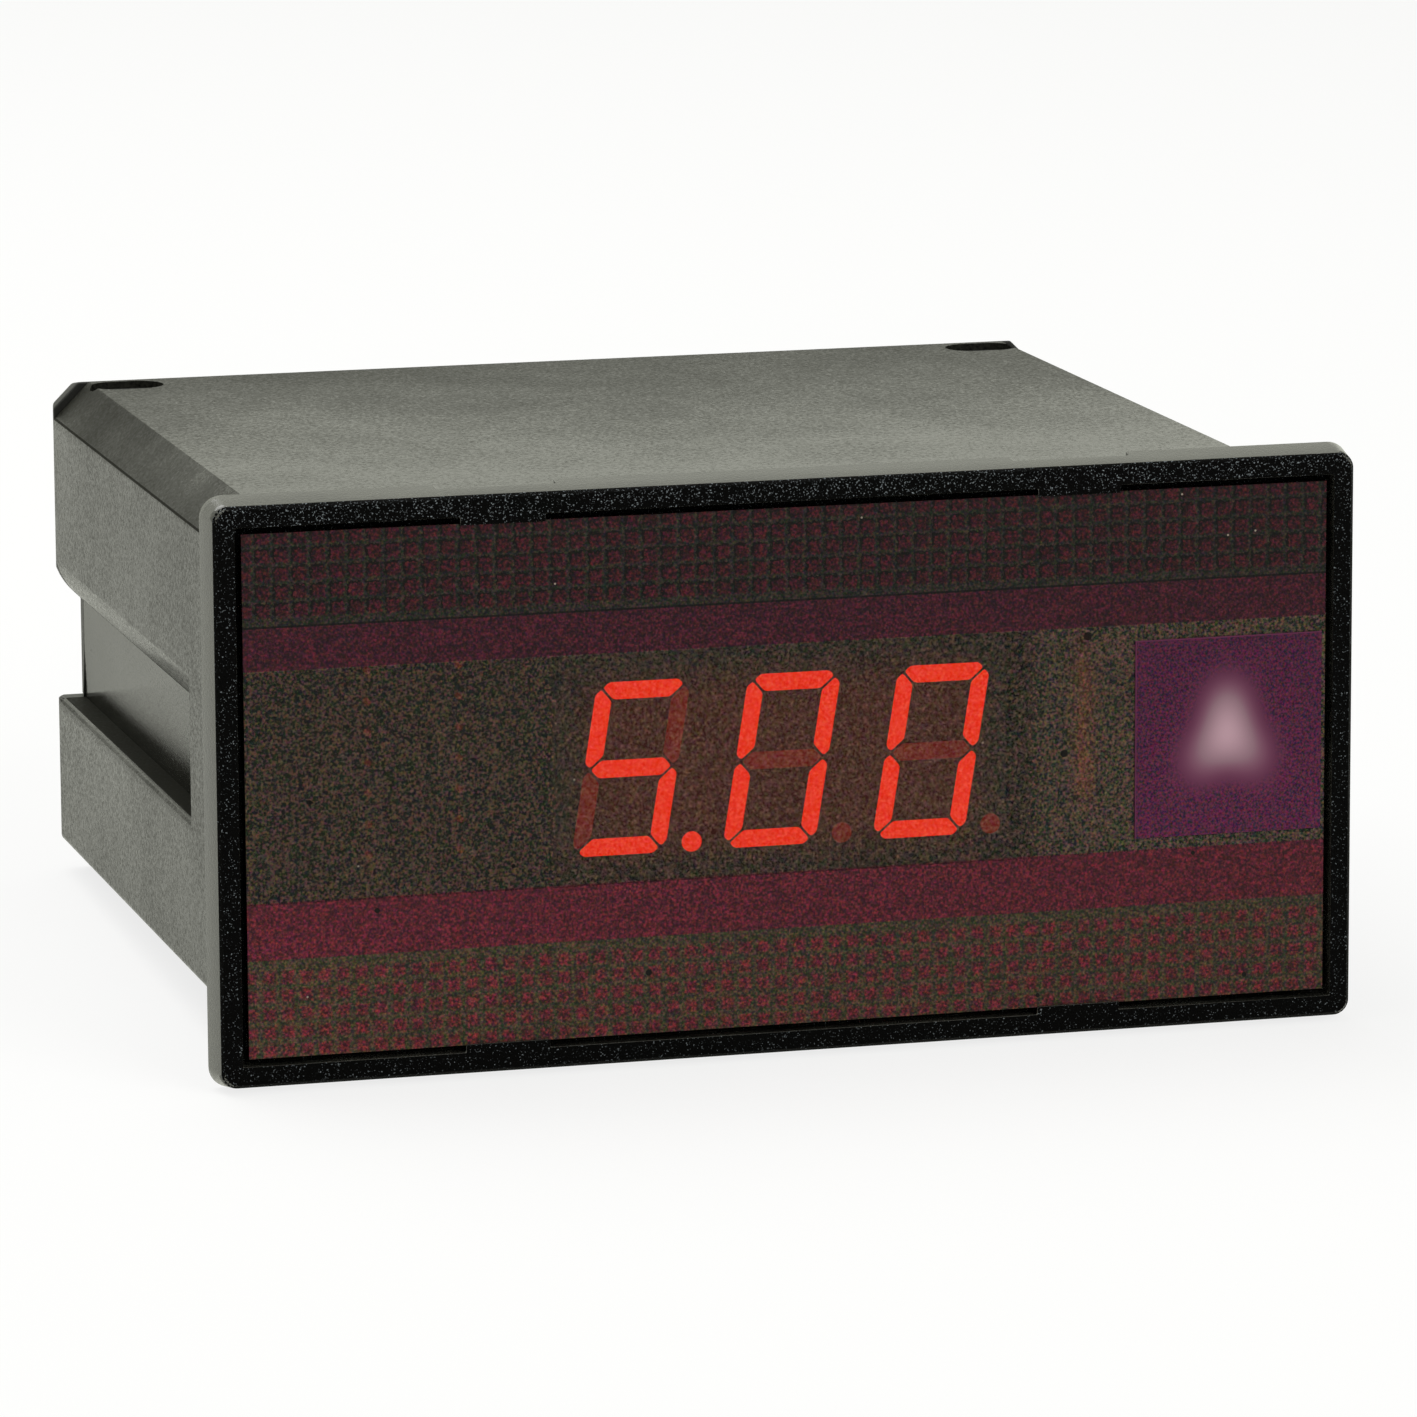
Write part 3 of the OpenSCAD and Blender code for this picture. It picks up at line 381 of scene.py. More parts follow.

# %% Film: the squares and their painted shadows
# ink creeps a little at its edges, so the squares are drawn on a slightly shaken sheet
CREEP_MM = 0.6
CREEP_WIDTH_MM = 0.25
shake = add(tree, "ShaderNodeTexNoise", {"Vector": spot, "Scale": 1 / (CREEP_WIDTH_MM * MM), "Detail": 1.0})
shake = add(tree, "ShaderNodeVectorMath",
            {0: shake.outputs["Color"], 1: [CREEP_MM] * 3, 2: [-CREEP_MM / 2] * 3}, operation="MULTIPLY_ADD")
shaken = add(tree, "ShaderNodeVectorMath", {0: sheet, 1: shake.outputs[0]}, operation="ADD")
# in mm: low and high end, pitch across and up, side; softness; in mm: middle of one square, shift up and
# to the left of a painted shadow; colour
SQUARES_AND_SHADOWS = [
    # first row: painted shadow, dark squares shifted up and to the left under the printed ones
    (14.17, 23.0, 1.508, 1.47, 1.04, 0.3, 0.25, 14.92, 0.16, "#070405"),
    (14.17, 23.0, 1.508, 1.47, 0.94, 0.4, 0.25, 14.92, 0.0, "#411b23"),
    (-23.0, -13.92, 1.5115, 1.5, 0.6, 0.8, 0.35, -14.65, 0.0, "#642730"),
]
for low, high, pitch_x, pitch_z, side, soft, centre_x, centre_z, shift, colour in SQUARES_AND_SHADOWS:
    start = (pitch_x / 2 - centre_x + shift, pitch_z / 2 - centre_z - shift, 0)
    laid = add(tree, "ShaderNodeMapping", {"Vector": shaken.outputs[0], "Location": start})
    bricks = add(tree, "ShaderNodeTexBrick",
                 {"Vector": laid.outputs[0], "Color1": (1, 1, 1, 1), "Color2": (0.82, 0.82, 0.82, 1),
                  "Mortar": (0, 0, 0, 1), "Scale": 1.0, "Mortar Size": (pitch_x - side) / 2,
                  "Mortar Smooth": soft, "Brick Width": pitch_x, "Row Height": pitch_z},
                 offset=0.0, squash=1.0)
    above = add(tree, "ShaderNodeMath", {0: height, 1: low}, operation="GREATER_THAN")
    below = add(tree, "ShaderNodeMath", {0: height, 1: high}, operation="LESS_THAN")
    inside = add(tree, "ShaderNodeMath", {0: above.outputs[0], 1: below.outputs[0]}, operation="MULTIPLY")
    shown = add(tree, "ShaderNodeMath", {0: inside.outputs[0], 1: bricks.outputs[0]}, operation="MULTIPLY")
    ground = add(tree, "ShaderNodeMix", {0: shown.outputs[0], 6: ground, 7: linear(colour)},
                 data_type="RGBA").outputs[2]
print("layers of squares:", len(SQUARES_AND_SHADOWS))

# %% Film: what shows through
# the stripes and bands are opaque ink; the ground between them is thin, and thinnest over the digits
DIGITS_HALF = 19.5
INK_EDGE, TINT_EDGE = 1, 2
THIN_INK, THINNEST_INK = 0.9, 0.64
PRINT_HALF = 45.0
GROUND_LOW, GROUND_HIGH = STRIPES_AND_SHADOW_LINE[2][0], STRIPES_AND_SHADOW_LINE[3][0]
over = add(tree, "ShaderNodeMath", {0: height, 1: GROUND_LOW}, operation="GREATER_THAN")
under = add(tree, "ShaderNodeMath", {0: height, 1: GROUND_HIGH}, operation="LESS_THAN")
clear = add(tree, "ShaderNodeMath", {0: over.outputs[0], 1: under.outputs[0]}, operation="MULTIPLY")
aside = add(tree, "ShaderNodeMath", {0: across}, operation="ABSOLUTE")
ink = add(tree, "ShaderNodeMapRange",
          {"Value": aside.outputs[0], "From Min": DIGITS_HALF, "From Max": DIGITS_HALF + INK_EDGE,
           "To Min": THINNEST_INK, "To Max": THIN_INK})
opaque = add(tree, "ShaderNodeMapRange", {"Value": clear.outputs[0], "To Min": 1.0, "To Max": ink.outputs[0]})
# thin ink is mixed paler, so that the ground keeps one tone; it is lighter to the right, the rest darker
paler = add(tree, "ShaderNodeMath", {0: THINNEST_INK, 1: ink.outputs[0]}, operation="DIVIDE")
rightward = add(tree, "ShaderNodeMapRange",
                {"Value": across, "From Min": DIGITS_HALF, "From Max": DIGITS_HALF + TINT_EDGE,
                 "To Min": 1.0, "To Max": 1.35})
paler = add(tree, "ShaderNodeMath", {0: paler.outputs[0], 1: rightward.outputs[0]}, operation="MULTIPLY")
darker = add(tree, "ShaderNodeMapRange",
             {"Value": across, "From Min": -PRINT_HALF, "From Max": PRINT_HALF,
              "To Min": 1.01, "To Max": 0.82})
tint = add(tree, "ShaderNodeMapRange",
           {"Value": clear.outputs[0], "To Min": darker.outputs[0], "To Max": paler.outputs[0]})
ground = add(tree, "ShaderNodeMix", {0: 1.0, 6: ground, 7: tint.outputs[0]},
             data_type="RGBA", blend_type="MULTIPLY", clamp_result=False).outputs[2]
print("digits show through", 2 * DIGITS_HALF, "mm of the film")

# %% Film: the grain
GRAIN_MM = 0.2
GRAIN_CONTRAST = 3.7
GRAIN_TINT = 0.45
DARKEST_GRAIN = 0.25
MEAN_GRAIN = 1.12
SHADE_HALF = 21.0
grain = add(tree, "ShaderNodeTexNoise",
            {"Vector": spot, "Scale": 1 / (GRAIN_MM * MM), "Detail": 1.0, "Roughness": 0.5})
tinted = add(tree, "ShaderNodeMix", {0: GRAIN_TINT, 6: grain.outputs[0], 7: grain.outputs["Color"]},
             data_type="RGBA")
speckle = add(tree, "ShaderNodeVectorMath",
              {0: tinted.outputs[2], 1: [GRAIN_CONTRAST] * 3, 2: [1 - GRAIN_CONTRAST / 2] * 3},
              operation="MULTIPLY_ADD")
speckle = add(tree, "ShaderNodeVectorMath", {0: speckle.outputs[0], 1: [DARKEST_GRAIN] * 3},
              operation="MAXIMUM")
speckle = add(tree, "ShaderNodeVectorMath", {0: speckle.outputs[0], 1: speckle.outputs[0]},
              operation="MULTIPLY")
speckle = add(tree, "ShaderNodeMix", {0: calm, 6: speckle.outputs[0], 7: [MEAN_GRAIN] * 3 + [1]},
              data_type="RGBA", clamp_result=False)
toned = add(tree, "ShaderNodeMix", {0: 1.0, 6: ground, 7: speckle.outputs[2]},
            data_type="RGBA", blend_type="MULTIPLY", clamp_result=False)
# the film takes less light towards its top
fall = add(tree, "ShaderNodeMapRange",
           {"Value": height, "From Min": -SHADE_HALF, "From Max": SHADE_HALF, "To Min": 0.86, "To Max": 0.6})
toned = add(tree, "ShaderNodeMix", {0: 1.0, 6: toned.outputs[2], 7: fall.outputs[0]},
            data_type="RGBA", blend_type="MULTIPLY", clamp_result=False)
print("film grain:", GRAIN_MM, "mm")

# %% Film: dust and lint
# across, up and radius of each speck, in mm
DUST = [
    (24.8, 9.4, 0.34), (22.8, -0.2, 0.3), (-40.0, -0.6, 0.2), (-6.75, -4.9, 0.24), (-12.25, -16.2, 0.26),
    (-34.6, -9.7, 0.22), (38.4, -19.6, 0.2), (20.6, -20.2, 0.18), (-23.4, -6.75, 0.18), (33.9, -9.1, 0.18),
]
# lint is paler, and all of it is equally fine
LINT_MM = 0.085
LINT = [(32.8, 20.7), (39.1, 17.4), (36.75, 17.15), (-40.4, -16.4), (-36.1, -6.0), (-19.75, 16.0),
        (5.7, 20.1), (15.9, 1.1), (-18.3, 0.0)]
FILM_DEPTH_MM = 0.06
specks = [(x, z, radius, "#0a0908") for x, z, radius in DUST]
specks += [(x, z, LINT_MM, "#968a7e") for x, z in LINT]
finished = toned
for x, z, radius, colour in specks:
    away = add(tree, "ShaderNodeVectorMath", {0: sheet, 1: (x, z, 0)}, operation="DISTANCE")
    speck = add(tree, "ShaderNodeMath", {0: away.outputs["Value"], 1: radius}, operation="LESS_THAN")
    finished = add(tree, "ShaderNodeMix", {0: speck.outputs[0], 6: finished.outputs[2], 7: linear(colour)},
                   data_type="RGBA")
bump = add(tree, "ShaderNodeBump",
           {"Height": grain.outputs[0], "Distance": FILM_DEPTH_MM * MM, "Strength": 1.0})
# polyester film with a velvet finish: no mirror, just a faint sheen broken up by the grain
shader = add(tree, "ShaderNodeBsdfPrincipled",
             {"Base Color": finished.outputs[2], "Roughness": 0.5, "Specular IOR Level": 0.12,
              "Alpha": opaque.outputs[0], "Normal": bump.outputs[0]})
close(tree, shader)
print("dust specks:", len(DUST), "lint:", len(LINT), "film nodes:", len(tree.nodes))

# %% [markdown]
# ## The unit label
# A purple translucent label covers the lamps at the right. The unit letter glows through it, blurred to a
# soft A. It could be a lit text behind frosted vinyl, which renders slowly. We set a few round spots of light
# along the strokes of the letter instead: each fades with the distance from its middle, and together they
# melt into one blurred shape.

# %% Label: the letter
label_print, tree, spot = begin("purple_lit_label")
across, height, sheet = sheet_places(tree, spot)
# at this many mm from its middle, a spot keeps this share of its light
LETTER_BLUR, KEPT_SHARE = 1.4, 0.6
# across and up in mm, and weight of each spot of light
LETTER = [(36.75, 4.2, 0.45), (36.75, 2.8, 1.0), (36.75, 1.4, 1.2), (36.75, 0.2, 0.9), (35.6, 0.0, 0.6),
          (37.9, 0.0, 0.6), (34.9, -1.0, 0.6), (38.6, -1.0, 0.6), (34.2, -1.9, 0.3), (39.4, -1.9, 0.3)]
glow = 0.0
for x, z, weight in LETTER:
    away = add(tree, "ShaderNodeVectorMath", {0: sheet, 1: (x, z, 0)}, operation="DISTANCE")
    ratio = add(tree, "ShaderNodeMath", {0: away.outputs["Value"], 1: LETTER_BLUR}, operation="DIVIDE")
    square = add(tree, "ShaderNodeMath", {0: ratio.outputs[0], 1: ratio.outputs[0]}, operation="MULTIPLY")
    shine = add(tree, "ShaderNodeMath", {0: KEPT_SHARE, 1: square.outputs[0]}, operation="POWER")
    glow = add(tree, "ShaderNodeMath", {0: shine.outputs[0], 1: weight, 2: glow},
               operation="MULTIPLY_ADD").outputs[0]
print("spots of light in the letter:", len(LETTER))

# %% Label: ink and a painted rim highlight
LABEL_CONTRAST = 5.4
LABEL_TINT = 0.7
LABEL_DARKEST = 0.15
LABEL_FOOT, LABEL_TOP = -7.6, 8.8
RIM_HIGHLIGHT_MM = 0.09
grain = add(tree, "ShaderNodeTexNoise",
            {"Vector": spot, "Scale": 1 / (GRAIN_MM * MM), "Detail": 1.5, "Roughness": 0.6})
purple = add(tree, "ShaderNodeMapRange",
             {"Value": height, "From Min": LABEL_FOOT, "From Max": LABEL_TOP, "To Min": 1.14, "To Max": 0.86})
ink = add(tree, "ShaderNodeMix", {0: 1.0, 6: linear("#4b1e39"), 7: purple.outputs[0]},
          data_type="RGBA", blend_type="MULTIPLY", clamp_result=False)
tinted = add(tree, "ShaderNodeMix", {0: LABEL_TINT, 6: grain.outputs[0], 7: grain.outputs["Color"]},
             data_type="RGBA")
speckle = add(tree, "ShaderNodeVectorMath",
              {0: tinted.outputs[2], 1: [LABEL_CONTRAST] * 3, 2: [1 - LABEL_CONTRAST / 2] * 3},
              operation="MULTIPLY_ADD")
speckle = add(tree, "ShaderNodeVectorMath", {0: speckle.outputs[0], 1: [LABEL_DARKEST] * 3},
              operation="MAXIMUM")
# the grain drowns in the light of the letter
calm = add(tree, "ShaderNodeMapRange", {"Value": glow, "From Min": 0.05, "From Max": 0.4})
speckle = add(tree, "ShaderNodeMix", {0: calm.outputs[0], 6: speckle.outputs[0], 7: (1, 1, 1, 1)},
              data_type="RGBA", clamp_result=False)
ink = add(tree, "ShaderNodeMix", {0: 1.0, 6: ink.outputs[2], 7: speckle.outputs[2]},
          data_type="RGBA", blend_type="MULTIPLY", clamp_result=False)
label_low, label_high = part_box("unit_label")
# a paler pink along the top and left edges: painted highlight where these edges catch the light
left_rim_highlight = add(tree, "ShaderNodeMath", {0: across, 1: label_low.x / MM + RIM_HIGHLIGHT_MM}, operation="LESS_THAN")
top_rim_highlight = add(tree, "ShaderNodeMath", {0: height, 1: label_high.z / MM - RIM_HIGHLIGHT_MM}, operation="GREATER_THAN")
rim_highlight = add(tree, "ShaderNodeMath", {0: left_rim_highlight.outputs[0], 1: top_rim_highlight.outputs[0]}, operation="MAXIMUM")
ink = add(tree, "ShaderNodeMix", {0: rim_highlight.outputs[0], 6: ink.outputs[2], 7: linear("#5f2a49")},
          data_type="RGBA")
print("label rim:", RIM_HIGHLIGHT_MM, "mm")

# %% Label: the light of the letter
LETTER_LIGHT = 0.145
light = add(tree, "ShaderNodeMath", {0: glow, 1: LETTER_LIGHT}, operation="MULTIPLY")
bright = add(tree, "ShaderNodeMapRange", {"Value": glow, "From Min": 0.1, "From Max": 1.5})
shine = add(tree, "ShaderNodeMix", {0: bright.outputs[0], 6: linear("#e67eaf"), 7: linear("#e6c5ca")},
            data_type="RGBA")
# translucent vinyl: the ink takes the light of the room, the letter gives its own
shader = add(tree, "ShaderNodeBsdfPrincipled",
             {"Base Color": ink.outputs[2], "Roughness": 0.5, "Specular IOR Level": 0.12,
              "Emission Color": shine.outputs[2], "Emission Strength": light.outputs[0]})
close(tree, shader)
print("label nodes:", len(tree.nodes))

# %% [markdown]
# ## Window and digits
# Behind the film sits a brown tinted acrylic plate, and behind that the LED modules. The plate could be made
# with transmission, as glass is. A low alpha shows the same here, and the picture stays free of noise. The
# film holds most of the light back, so the bars that are alight are given more strength than the camera sees.

# %% Window and bars
FLOW_MM = 20
RESIN_CLOUD_MM = 1.5
window_acrylic, tree, spot = begin("brown_tinted_acrylic")
streak = add(tree, "ShaderNodeTexNoise", {"Vector": spot, "Scale": 1 / (FLOW_MM * MM), "Detail": 2.0})
rough = add(tree, "ShaderNodeMapRange", {"Value": streak.outputs[0], "To Min": 0.06, "To Max": 0.14})
tint = add(tree, "ShaderNodeMix", {0: streak.outputs[0], 6: linear("#140b09"), 7: linear("#1f120e")},
           data_type="RGBA")
# cast acrylic: a clear deep gloss with almost no flow marks
shader = add(tree, "ShaderNodeBsdfPrincipled",
             {"Base Color": tint.outputs[2], "Roughness": rough.outputs[0], "IOR": 1.49, "Alpha": 0.12})
close(tree, shader)


def resin(name, body, glow_low, glow_high, strength):
    made, tree, spot = begin(name)
    cloud = add(tree, "ShaderNodeTexNoise",
                {"Vector": spot, "Scale": 1 / (RESIN_CLOUD_MM * MM), "Detail": 2.0})
    shine = add(tree, "ShaderNodeMix", {0: cloud.outputs[0], 6: linear(glow_low), 7: linear(glow_high)},
                data_type="RGBA")
    tone = add(tree, "ShaderNodeMix", {0: cloud.outputs[0], 6: linear(body), 7: linear(glow_low)},
               data_type="RGBA")
    shader = add(tree, "ShaderNodeBsdfPrincipled",
                 {"Base Color": tone.outputs[2], "Roughness": 0.4, "Emission Color": shine.outputs[2],
                  "Emission Strength": strength})
    close(tree, shader)
    return made


# red diffusing epoxy, alight: even all over, because the resin scatters the light of its chips
segment_alight = resin("red_epoxy_alight", "#a01208", "#ff2400", "#ff2a00", 2.4)
# the same epoxy, dark: a brown-red that catches a little of its neighbours' light
segment_dark = resin("red_epoxy_dark", "#3a1410", "#f02a10", "#ff3010", 0.27)
print("window and bars:", [m.name for m in (window_acrylic, segment_alight, segment_dark)])

# %% Digit modules
GLOW_EDGE = 5 * MM
GLOW = 0.1
row_low, row_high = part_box("digit_body_1")[0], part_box("digit_body_3")[1]
middle, half = (row_low + row_high) / 2, (row_high - row_low) / 2
digit_plastic, tree, spot = begin("grey_reflector_plastic")
axes = add(tree, "ShaderNodeSeparateXYZ", {0: spot})
glow = GLOW
for axis in (0, 2):
    away = add(tree, "ShaderNodeMath", {0: axes.outputs[axis], 1: middle[axis]}, operation="SUBTRACT")
    away = add(tree, "ShaderNodeMath", {0: away.outputs[0]}, operation="ABSOLUTE")
    fade = add(tree, "ShaderNodeMapRange",
               {"Value": away.outputs[0], "From Min": half[axis] - GLOW_EDGE, "From Max": half[axis],
                "To Min": 1.0, "To Max": 0.0}, interpolation_type="SMOOTHSTEP")
    glow = add(tree, "ShaderNodeMath", {0: fade.outputs[0], 1: glow}, operation="MULTIPLY").outputs[0]
cloud = add(tree, "ShaderNodeTexNoise", {"Vector": spot, "Scale": 1 / (RESIN_CLOUD_MM * MM), "Detail": 2.0})
tone = add(tree, "ShaderNodeMix", {0: cloud.outputs[0], 6: linear("#0b0908"), 7: linear("#15110f")},
           data_type="RGBA")
# grey reflector plastic round the bars: reddened by the light inside, most in its middle
shader = add(tree, "ShaderNodeBsdfPrincipled",
             {"Base Color": tone.outputs[2], "Roughness": 0.45, "Emission Color": linear("#fa3e1a"),
              "Emission Strength": glow})
close(tree, shader)
print("glow of the digit modules fades over", GLOW_EDGE / MM, "mm")

# %% [markdown]
# ## Metals
# Terminal plates are brass, screws and saddles are zinc-plated steel. Both were rolled or turned, so the
# gloss has fine streaks. They are finer than any face of the mesh, so they are drawn by a noise that is
# stretched along one direction.

# %% Metals
STAIN_MM = 2.5
STREAK_DEPTH_MM = 0.004


def metal(name, dark, light, streak_mm, length_mm, gloss, lines="Z"):
    made, tree, spot = begin(name)
    stretch = [1 / streak_mm / MM] * 3
    stretch["XYZ".index(lines)] = 1 / length_mm / MM
    laid = add(tree, "ShaderNodeMapping", {"Vector": spot, "Scale": stretch})
    streak = add(tree, "ShaderNodeTexNoise", {"Vector": laid.outputs[0], "Scale": 1.0, "Detail": 3.0})
    stain = add(tree, "ShaderNodeTexNoise", {"Vector": spot, "Scale": 1 / (STAIN_MM * MM), "Detail": 3.0})
    colour = add(tree, "ShaderNodeMix", {0: stain.outputs[0], 6: linear(dark), 7: linear(light)},
                 data_type="RGBA")
    rough = add(tree, "ShaderNodeMapRange",
                {"Value": streak.outputs[0], "From Min": 0.3, "From Max": 0.7,
                 "To Min": gloss[0], "To Max": gloss[1]})
    bump = add(tree, "ShaderNodeBump",
               {"Height": streak.outputs[0], "Distance": STREAK_DEPTH_MM * MM, "Strength": 1.0})
    shader = add(tree, "ShaderNodeBsdfPrincipled",
                 {"Base Color": colour.outputs[2], "Metallic": 1.0, "Roughness": rough.outputs[0],
                  "Normal": bump.outputs[0]})
    close(tree, shader)
    return made


# zinc plating, clear passivated: bluish silver with a soft turned sheen
zinc_steel = metal("zinc_plated_steel", "#a9adb0", "#cdd0d1", 0.12, 1.5, (0.24, 0.42))
# rolled brass: warm yellow, dulled by handling
rolled_brass = metal("rolled_brass", "#a5813f", "#cfa95c", 0.1, 4.0, (0.22, 0.38))
# hot-tinned wire: grey, uneven
tinned_wire = metal("tinned_wire", "#9a9c9a", "#c4c6c2", 0.2, 1.0, (0.28, 0.46))
# resistance alloy strap: coppery grey
shunt_alloy = metal("resistance_alloy_strap", "#8e6a50", "#b48a6a", 0.15, 5.0, (0.26, 0.4), "X")
print("metals:", [m.name for m in (zinc_steel, rolled_brass, tinned_wire, shunt_alloy)])

# %% [markdown]
# ## The parts inside
# Nobody sees the inside without opening the meter, but a part library wants it to look right when somebody
# does. Sheets, turns and tracks could be modelled one by one, at a great number of faces. Each finish below
# draws the one mark that tells it apart instead: laminations in the core, turns in the coil, copper tracks
# under the green lacquer of the main board.

# %% Banded finishes
def banded(name, dark, light, band_mm, direction, gloss, metallic):
    made, tree, spot = begin(name)
    # at scale 1 the wave repeats every pi / 10 units
    wave = add(tree, "ShaderNodeTexWave",
               {"Vector": spot, "Scale": math.pi / 10 / (band_mm * MM), "Distortion": 0.6, "Detail": 1.0,
                "Detail Scale": 0.4},
               bands_direction=direction)
    colour = add(tree, "ShaderNodeMix", {0: wave.outputs[1], 6: linear(dark), 7: linear(light)},
                 data_type="RGBA")
    rough = add(tree, "ShaderNodeMapRange",
                {"Value": wave.outputs[1], "To Min": gloss[1], "To Max": gloss[0]})
    bump = add(tree, "ShaderNodeBump",
               {"Height": wave.outputs[1], "Distance": 0.15 * band_mm * MM, "Strength": 1.0})
    shader = add(tree, "ShaderNodeBsdfPrincipled",
                 {"Base Color": colour.outputs[2], "Metallic": metallic, "Roughness": rough.outputs[0],
                  "Normal": bump.outputs[0]})
    close(tree, shader)
    return made


# stack of silicon steel sheets, 0.5 mm each, varnished
core_laminations = banded("laminated_core_steel", "#2d2f31", "#7d8184", 0.5, "Y", (0.34, 0.6), 1.0)
# enamelled wire laid turn by turn, 0.4 mm thick
coil_wire = banded("enamelled_copper_wire", "#5e2513", "#b4623a", 0.4, "Z", (0.25, 0.5), 0.7)
# carbon film resistors: beige lacquer with colour rings
resistor_lacquer = banded("ringed_beige_lacquer", "#7a3b24", "#d8bf97", 1.2, "X", (0.3, 0.5), 0.0)
print("banded finishes:", [m.name for m in (core_laminations, coil_wire, resistor_lacquer)])

# %% Circuit board
TRACK_LENGTH, TRACK_PITCH, TRACK_GAP = 21 * MM, 1.27 * MM, 0.36 * MM
TRACK_DEPTH = 0.03 * MM
WEAVE_MM = 0.4
board_laminate, tree, spot = begin("green_lacquered_board")
tracks = add(tree, "ShaderNodeTexBrick",
             {"Vector": spot, "Color1": (1, 1, 1, 1), "Color2": (0.3, 0.3, 0.3, 1), "Mortar": (0, 0, 0, 1),
              "Scale": 1.0, "Mortar Size": TRACK_GAP, "Mortar Smooth": 0.1, "Brick Width": TRACK_LENGTH,
              "Row Height": TRACK_PITCH}, offset=0.37, offset_frequency=3, squash=1.0)
weave = add(tree, "ShaderNodeTexNoise", {"Vector": spot, "Scale": 1 / (WEAVE_MM * MM), "Detail": 2.0})
tone = add(tree, "ShaderNodeMix", {0: tracks.outputs[0], 6: linear("#0f3a22"), 7: linear("#2b6b3c")},
           data_type="RGBA")
bump = add(tree, "ShaderNodeBump", {"Height": tracks.outputs[0], "Distance": TRACK_DEPTH, "Strength": 1.0})
rough = add(tree, "ShaderNodeMapRange", {"Value": weave.outputs[0], "To Min": 0.25, "To Max": 0.5})
# glass-fibre laminate under solder lacquer: copper tracks stand out as paler green
shader = add(tree, "ShaderNodeBsdfPrincipled",
             {"Base Color": tone.outputs[2], "Roughness": rough.outputs[0], "Normal": bump.outputs[0]})
close(tree, shader)
print("board:", board_laminate.name, "with tracks every", TRACK_PITCH / MM, "mm")

# %% Bodies of the parts
# nylon of the pin header: black with a soft sheen
header_nylon = moulded("black_header_nylon", "#141414", "#20201e", 4, 0.15, 0.006, (0.4, 0.55))
# moulding epoxy of the chips: a dull charcoal
chip_epoxy = moulded("matt_chip_epoxy", "#1c1c1e", "#2b2b2d", 4, 0.12, 0.01, (0.55, 0.7))
# shrink sleeve of the capacitor cans: a smooth, shiny blue
can_sleeve = moulded("blue_shrink_sleeve", "#1d3a78", "#28509c", 5, 0.4, 0.004, (0.22, 0.34))
# dipped resin of the film capacitors: brick red and glossy like a sweet
capacitor_resin = moulded("red_dipped_resin", "#8a2b18", "#a8391f", 3, 0.3, 0.01, (0.2, 0.35))
# polyester body of the trimmer: a clean blue
trimmer_body = moulded("blue_trimmer_plastic", "#1f4e8c", "#2c66ad", 3, 0.15, 0.006, (0.35, 0.5))
# rotor of the trimmer: an off-white that shows how far it is turned
rotor_plastic = moulded("white_rotor_plastic", "#d8d5ca", "#eceae2", 2, 0.12, 0.005, (0.35, 0.5))
# milky epoxy of the unit lamps: pale and softly alight
lamp_epoxy = resin("white_lamp_epoxy_alight", "#d8c8c8", "#f0d4d8", "#fbe4e6", 0.6)
bodies = (header_nylon, chip_epoxy, can_sleeve, capacitor_resin, trimmer_body, rotor_plastic, lamp_epoxy)
print("bodies of the parts:", [m.name for m in bodies])

# %% [markdown]
# ## What catches the light behind the window
# Stray light of the digits runs along the black display board. The box round the unit lamps is reddened
# where its left wall meets the board, and so is the board beside it, and the ends of the driver chip's legs
# shine red. Real light through two thin layers would come out full of noise. So each of these glows a little
# by itself, only where the light would reach it.

# %% The light box
ROOT_DEPTH = 7 * MM
ROOT_LIGHT = 1.05
WALL_SKIN = 0.3 * MM
LIT_HALF, ROOT_HALF = 5 * MM, 8 * MM
MOTTLE_MM = 1.6
box_low, box_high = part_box("unit_light_box")
light_box_abs, tree, spot = begin("smoked_light_box_abs")
axes = add(tree, "ShaderNodeSeparateXYZ", {0: spot})
root = add(tree, "ShaderNodeMapRange",
           {"Value": axes.outputs[1], "From Min": box_high.y - ROOT_DEPTH, "From Max": box_high.y},
           interpolation_type="SMOOTHSTEP")
side = add(tree, "ShaderNodeMath", {0: axes.outputs[0], 1: box_low.x + WALL_SKIN}, operation="LESS_THAN")
rise = add(tree, "ShaderNodeMath", {0: axes.outputs[2]}, operation="ABSOLUTE")
ends = add(tree, "ShaderNodeMapRange",
           {"Value": rise.outputs[0], "From Min": LIT_HALF, "From Max": ROOT_HALF,
            "To Min": 1.0, "To Max": 0.0})
mottle = add(tree, "ShaderNodeTexNoise", {"Vector": spot, "Scale": 1 / (MOTTLE_MM * MM), "Detail": 3.0})
lit = ROOT_LIGHT
for factor in (root, side, ends, mottle):
    lit = add(tree, "ShaderNodeMath", {0: factor.outputs[0], 1: lit}, operation="MULTIPLY").outputs[0]
tone = add(tree, "ShaderNodeMix", {0: mottle.outputs[0], 6: linear("#060505"), 7: linear("#0c0a09")},
           data_type="RGBA")
# smoked ABS, reddened at the root of its left wall by the light that leaks along the board
shader = add(tree, "ShaderNodeBsdfPrincipled",
             {"Base Color": tone.outputs[2], "Roughness": 0.5, "Specular IOR Level": 0.05,
              "Emission Color": linear("#ff6428"), "Emission Strength": lit})
close(tree, shader)
print("light box depth:", round((box_high.y - box_low.y) / MM, 2), "mm")

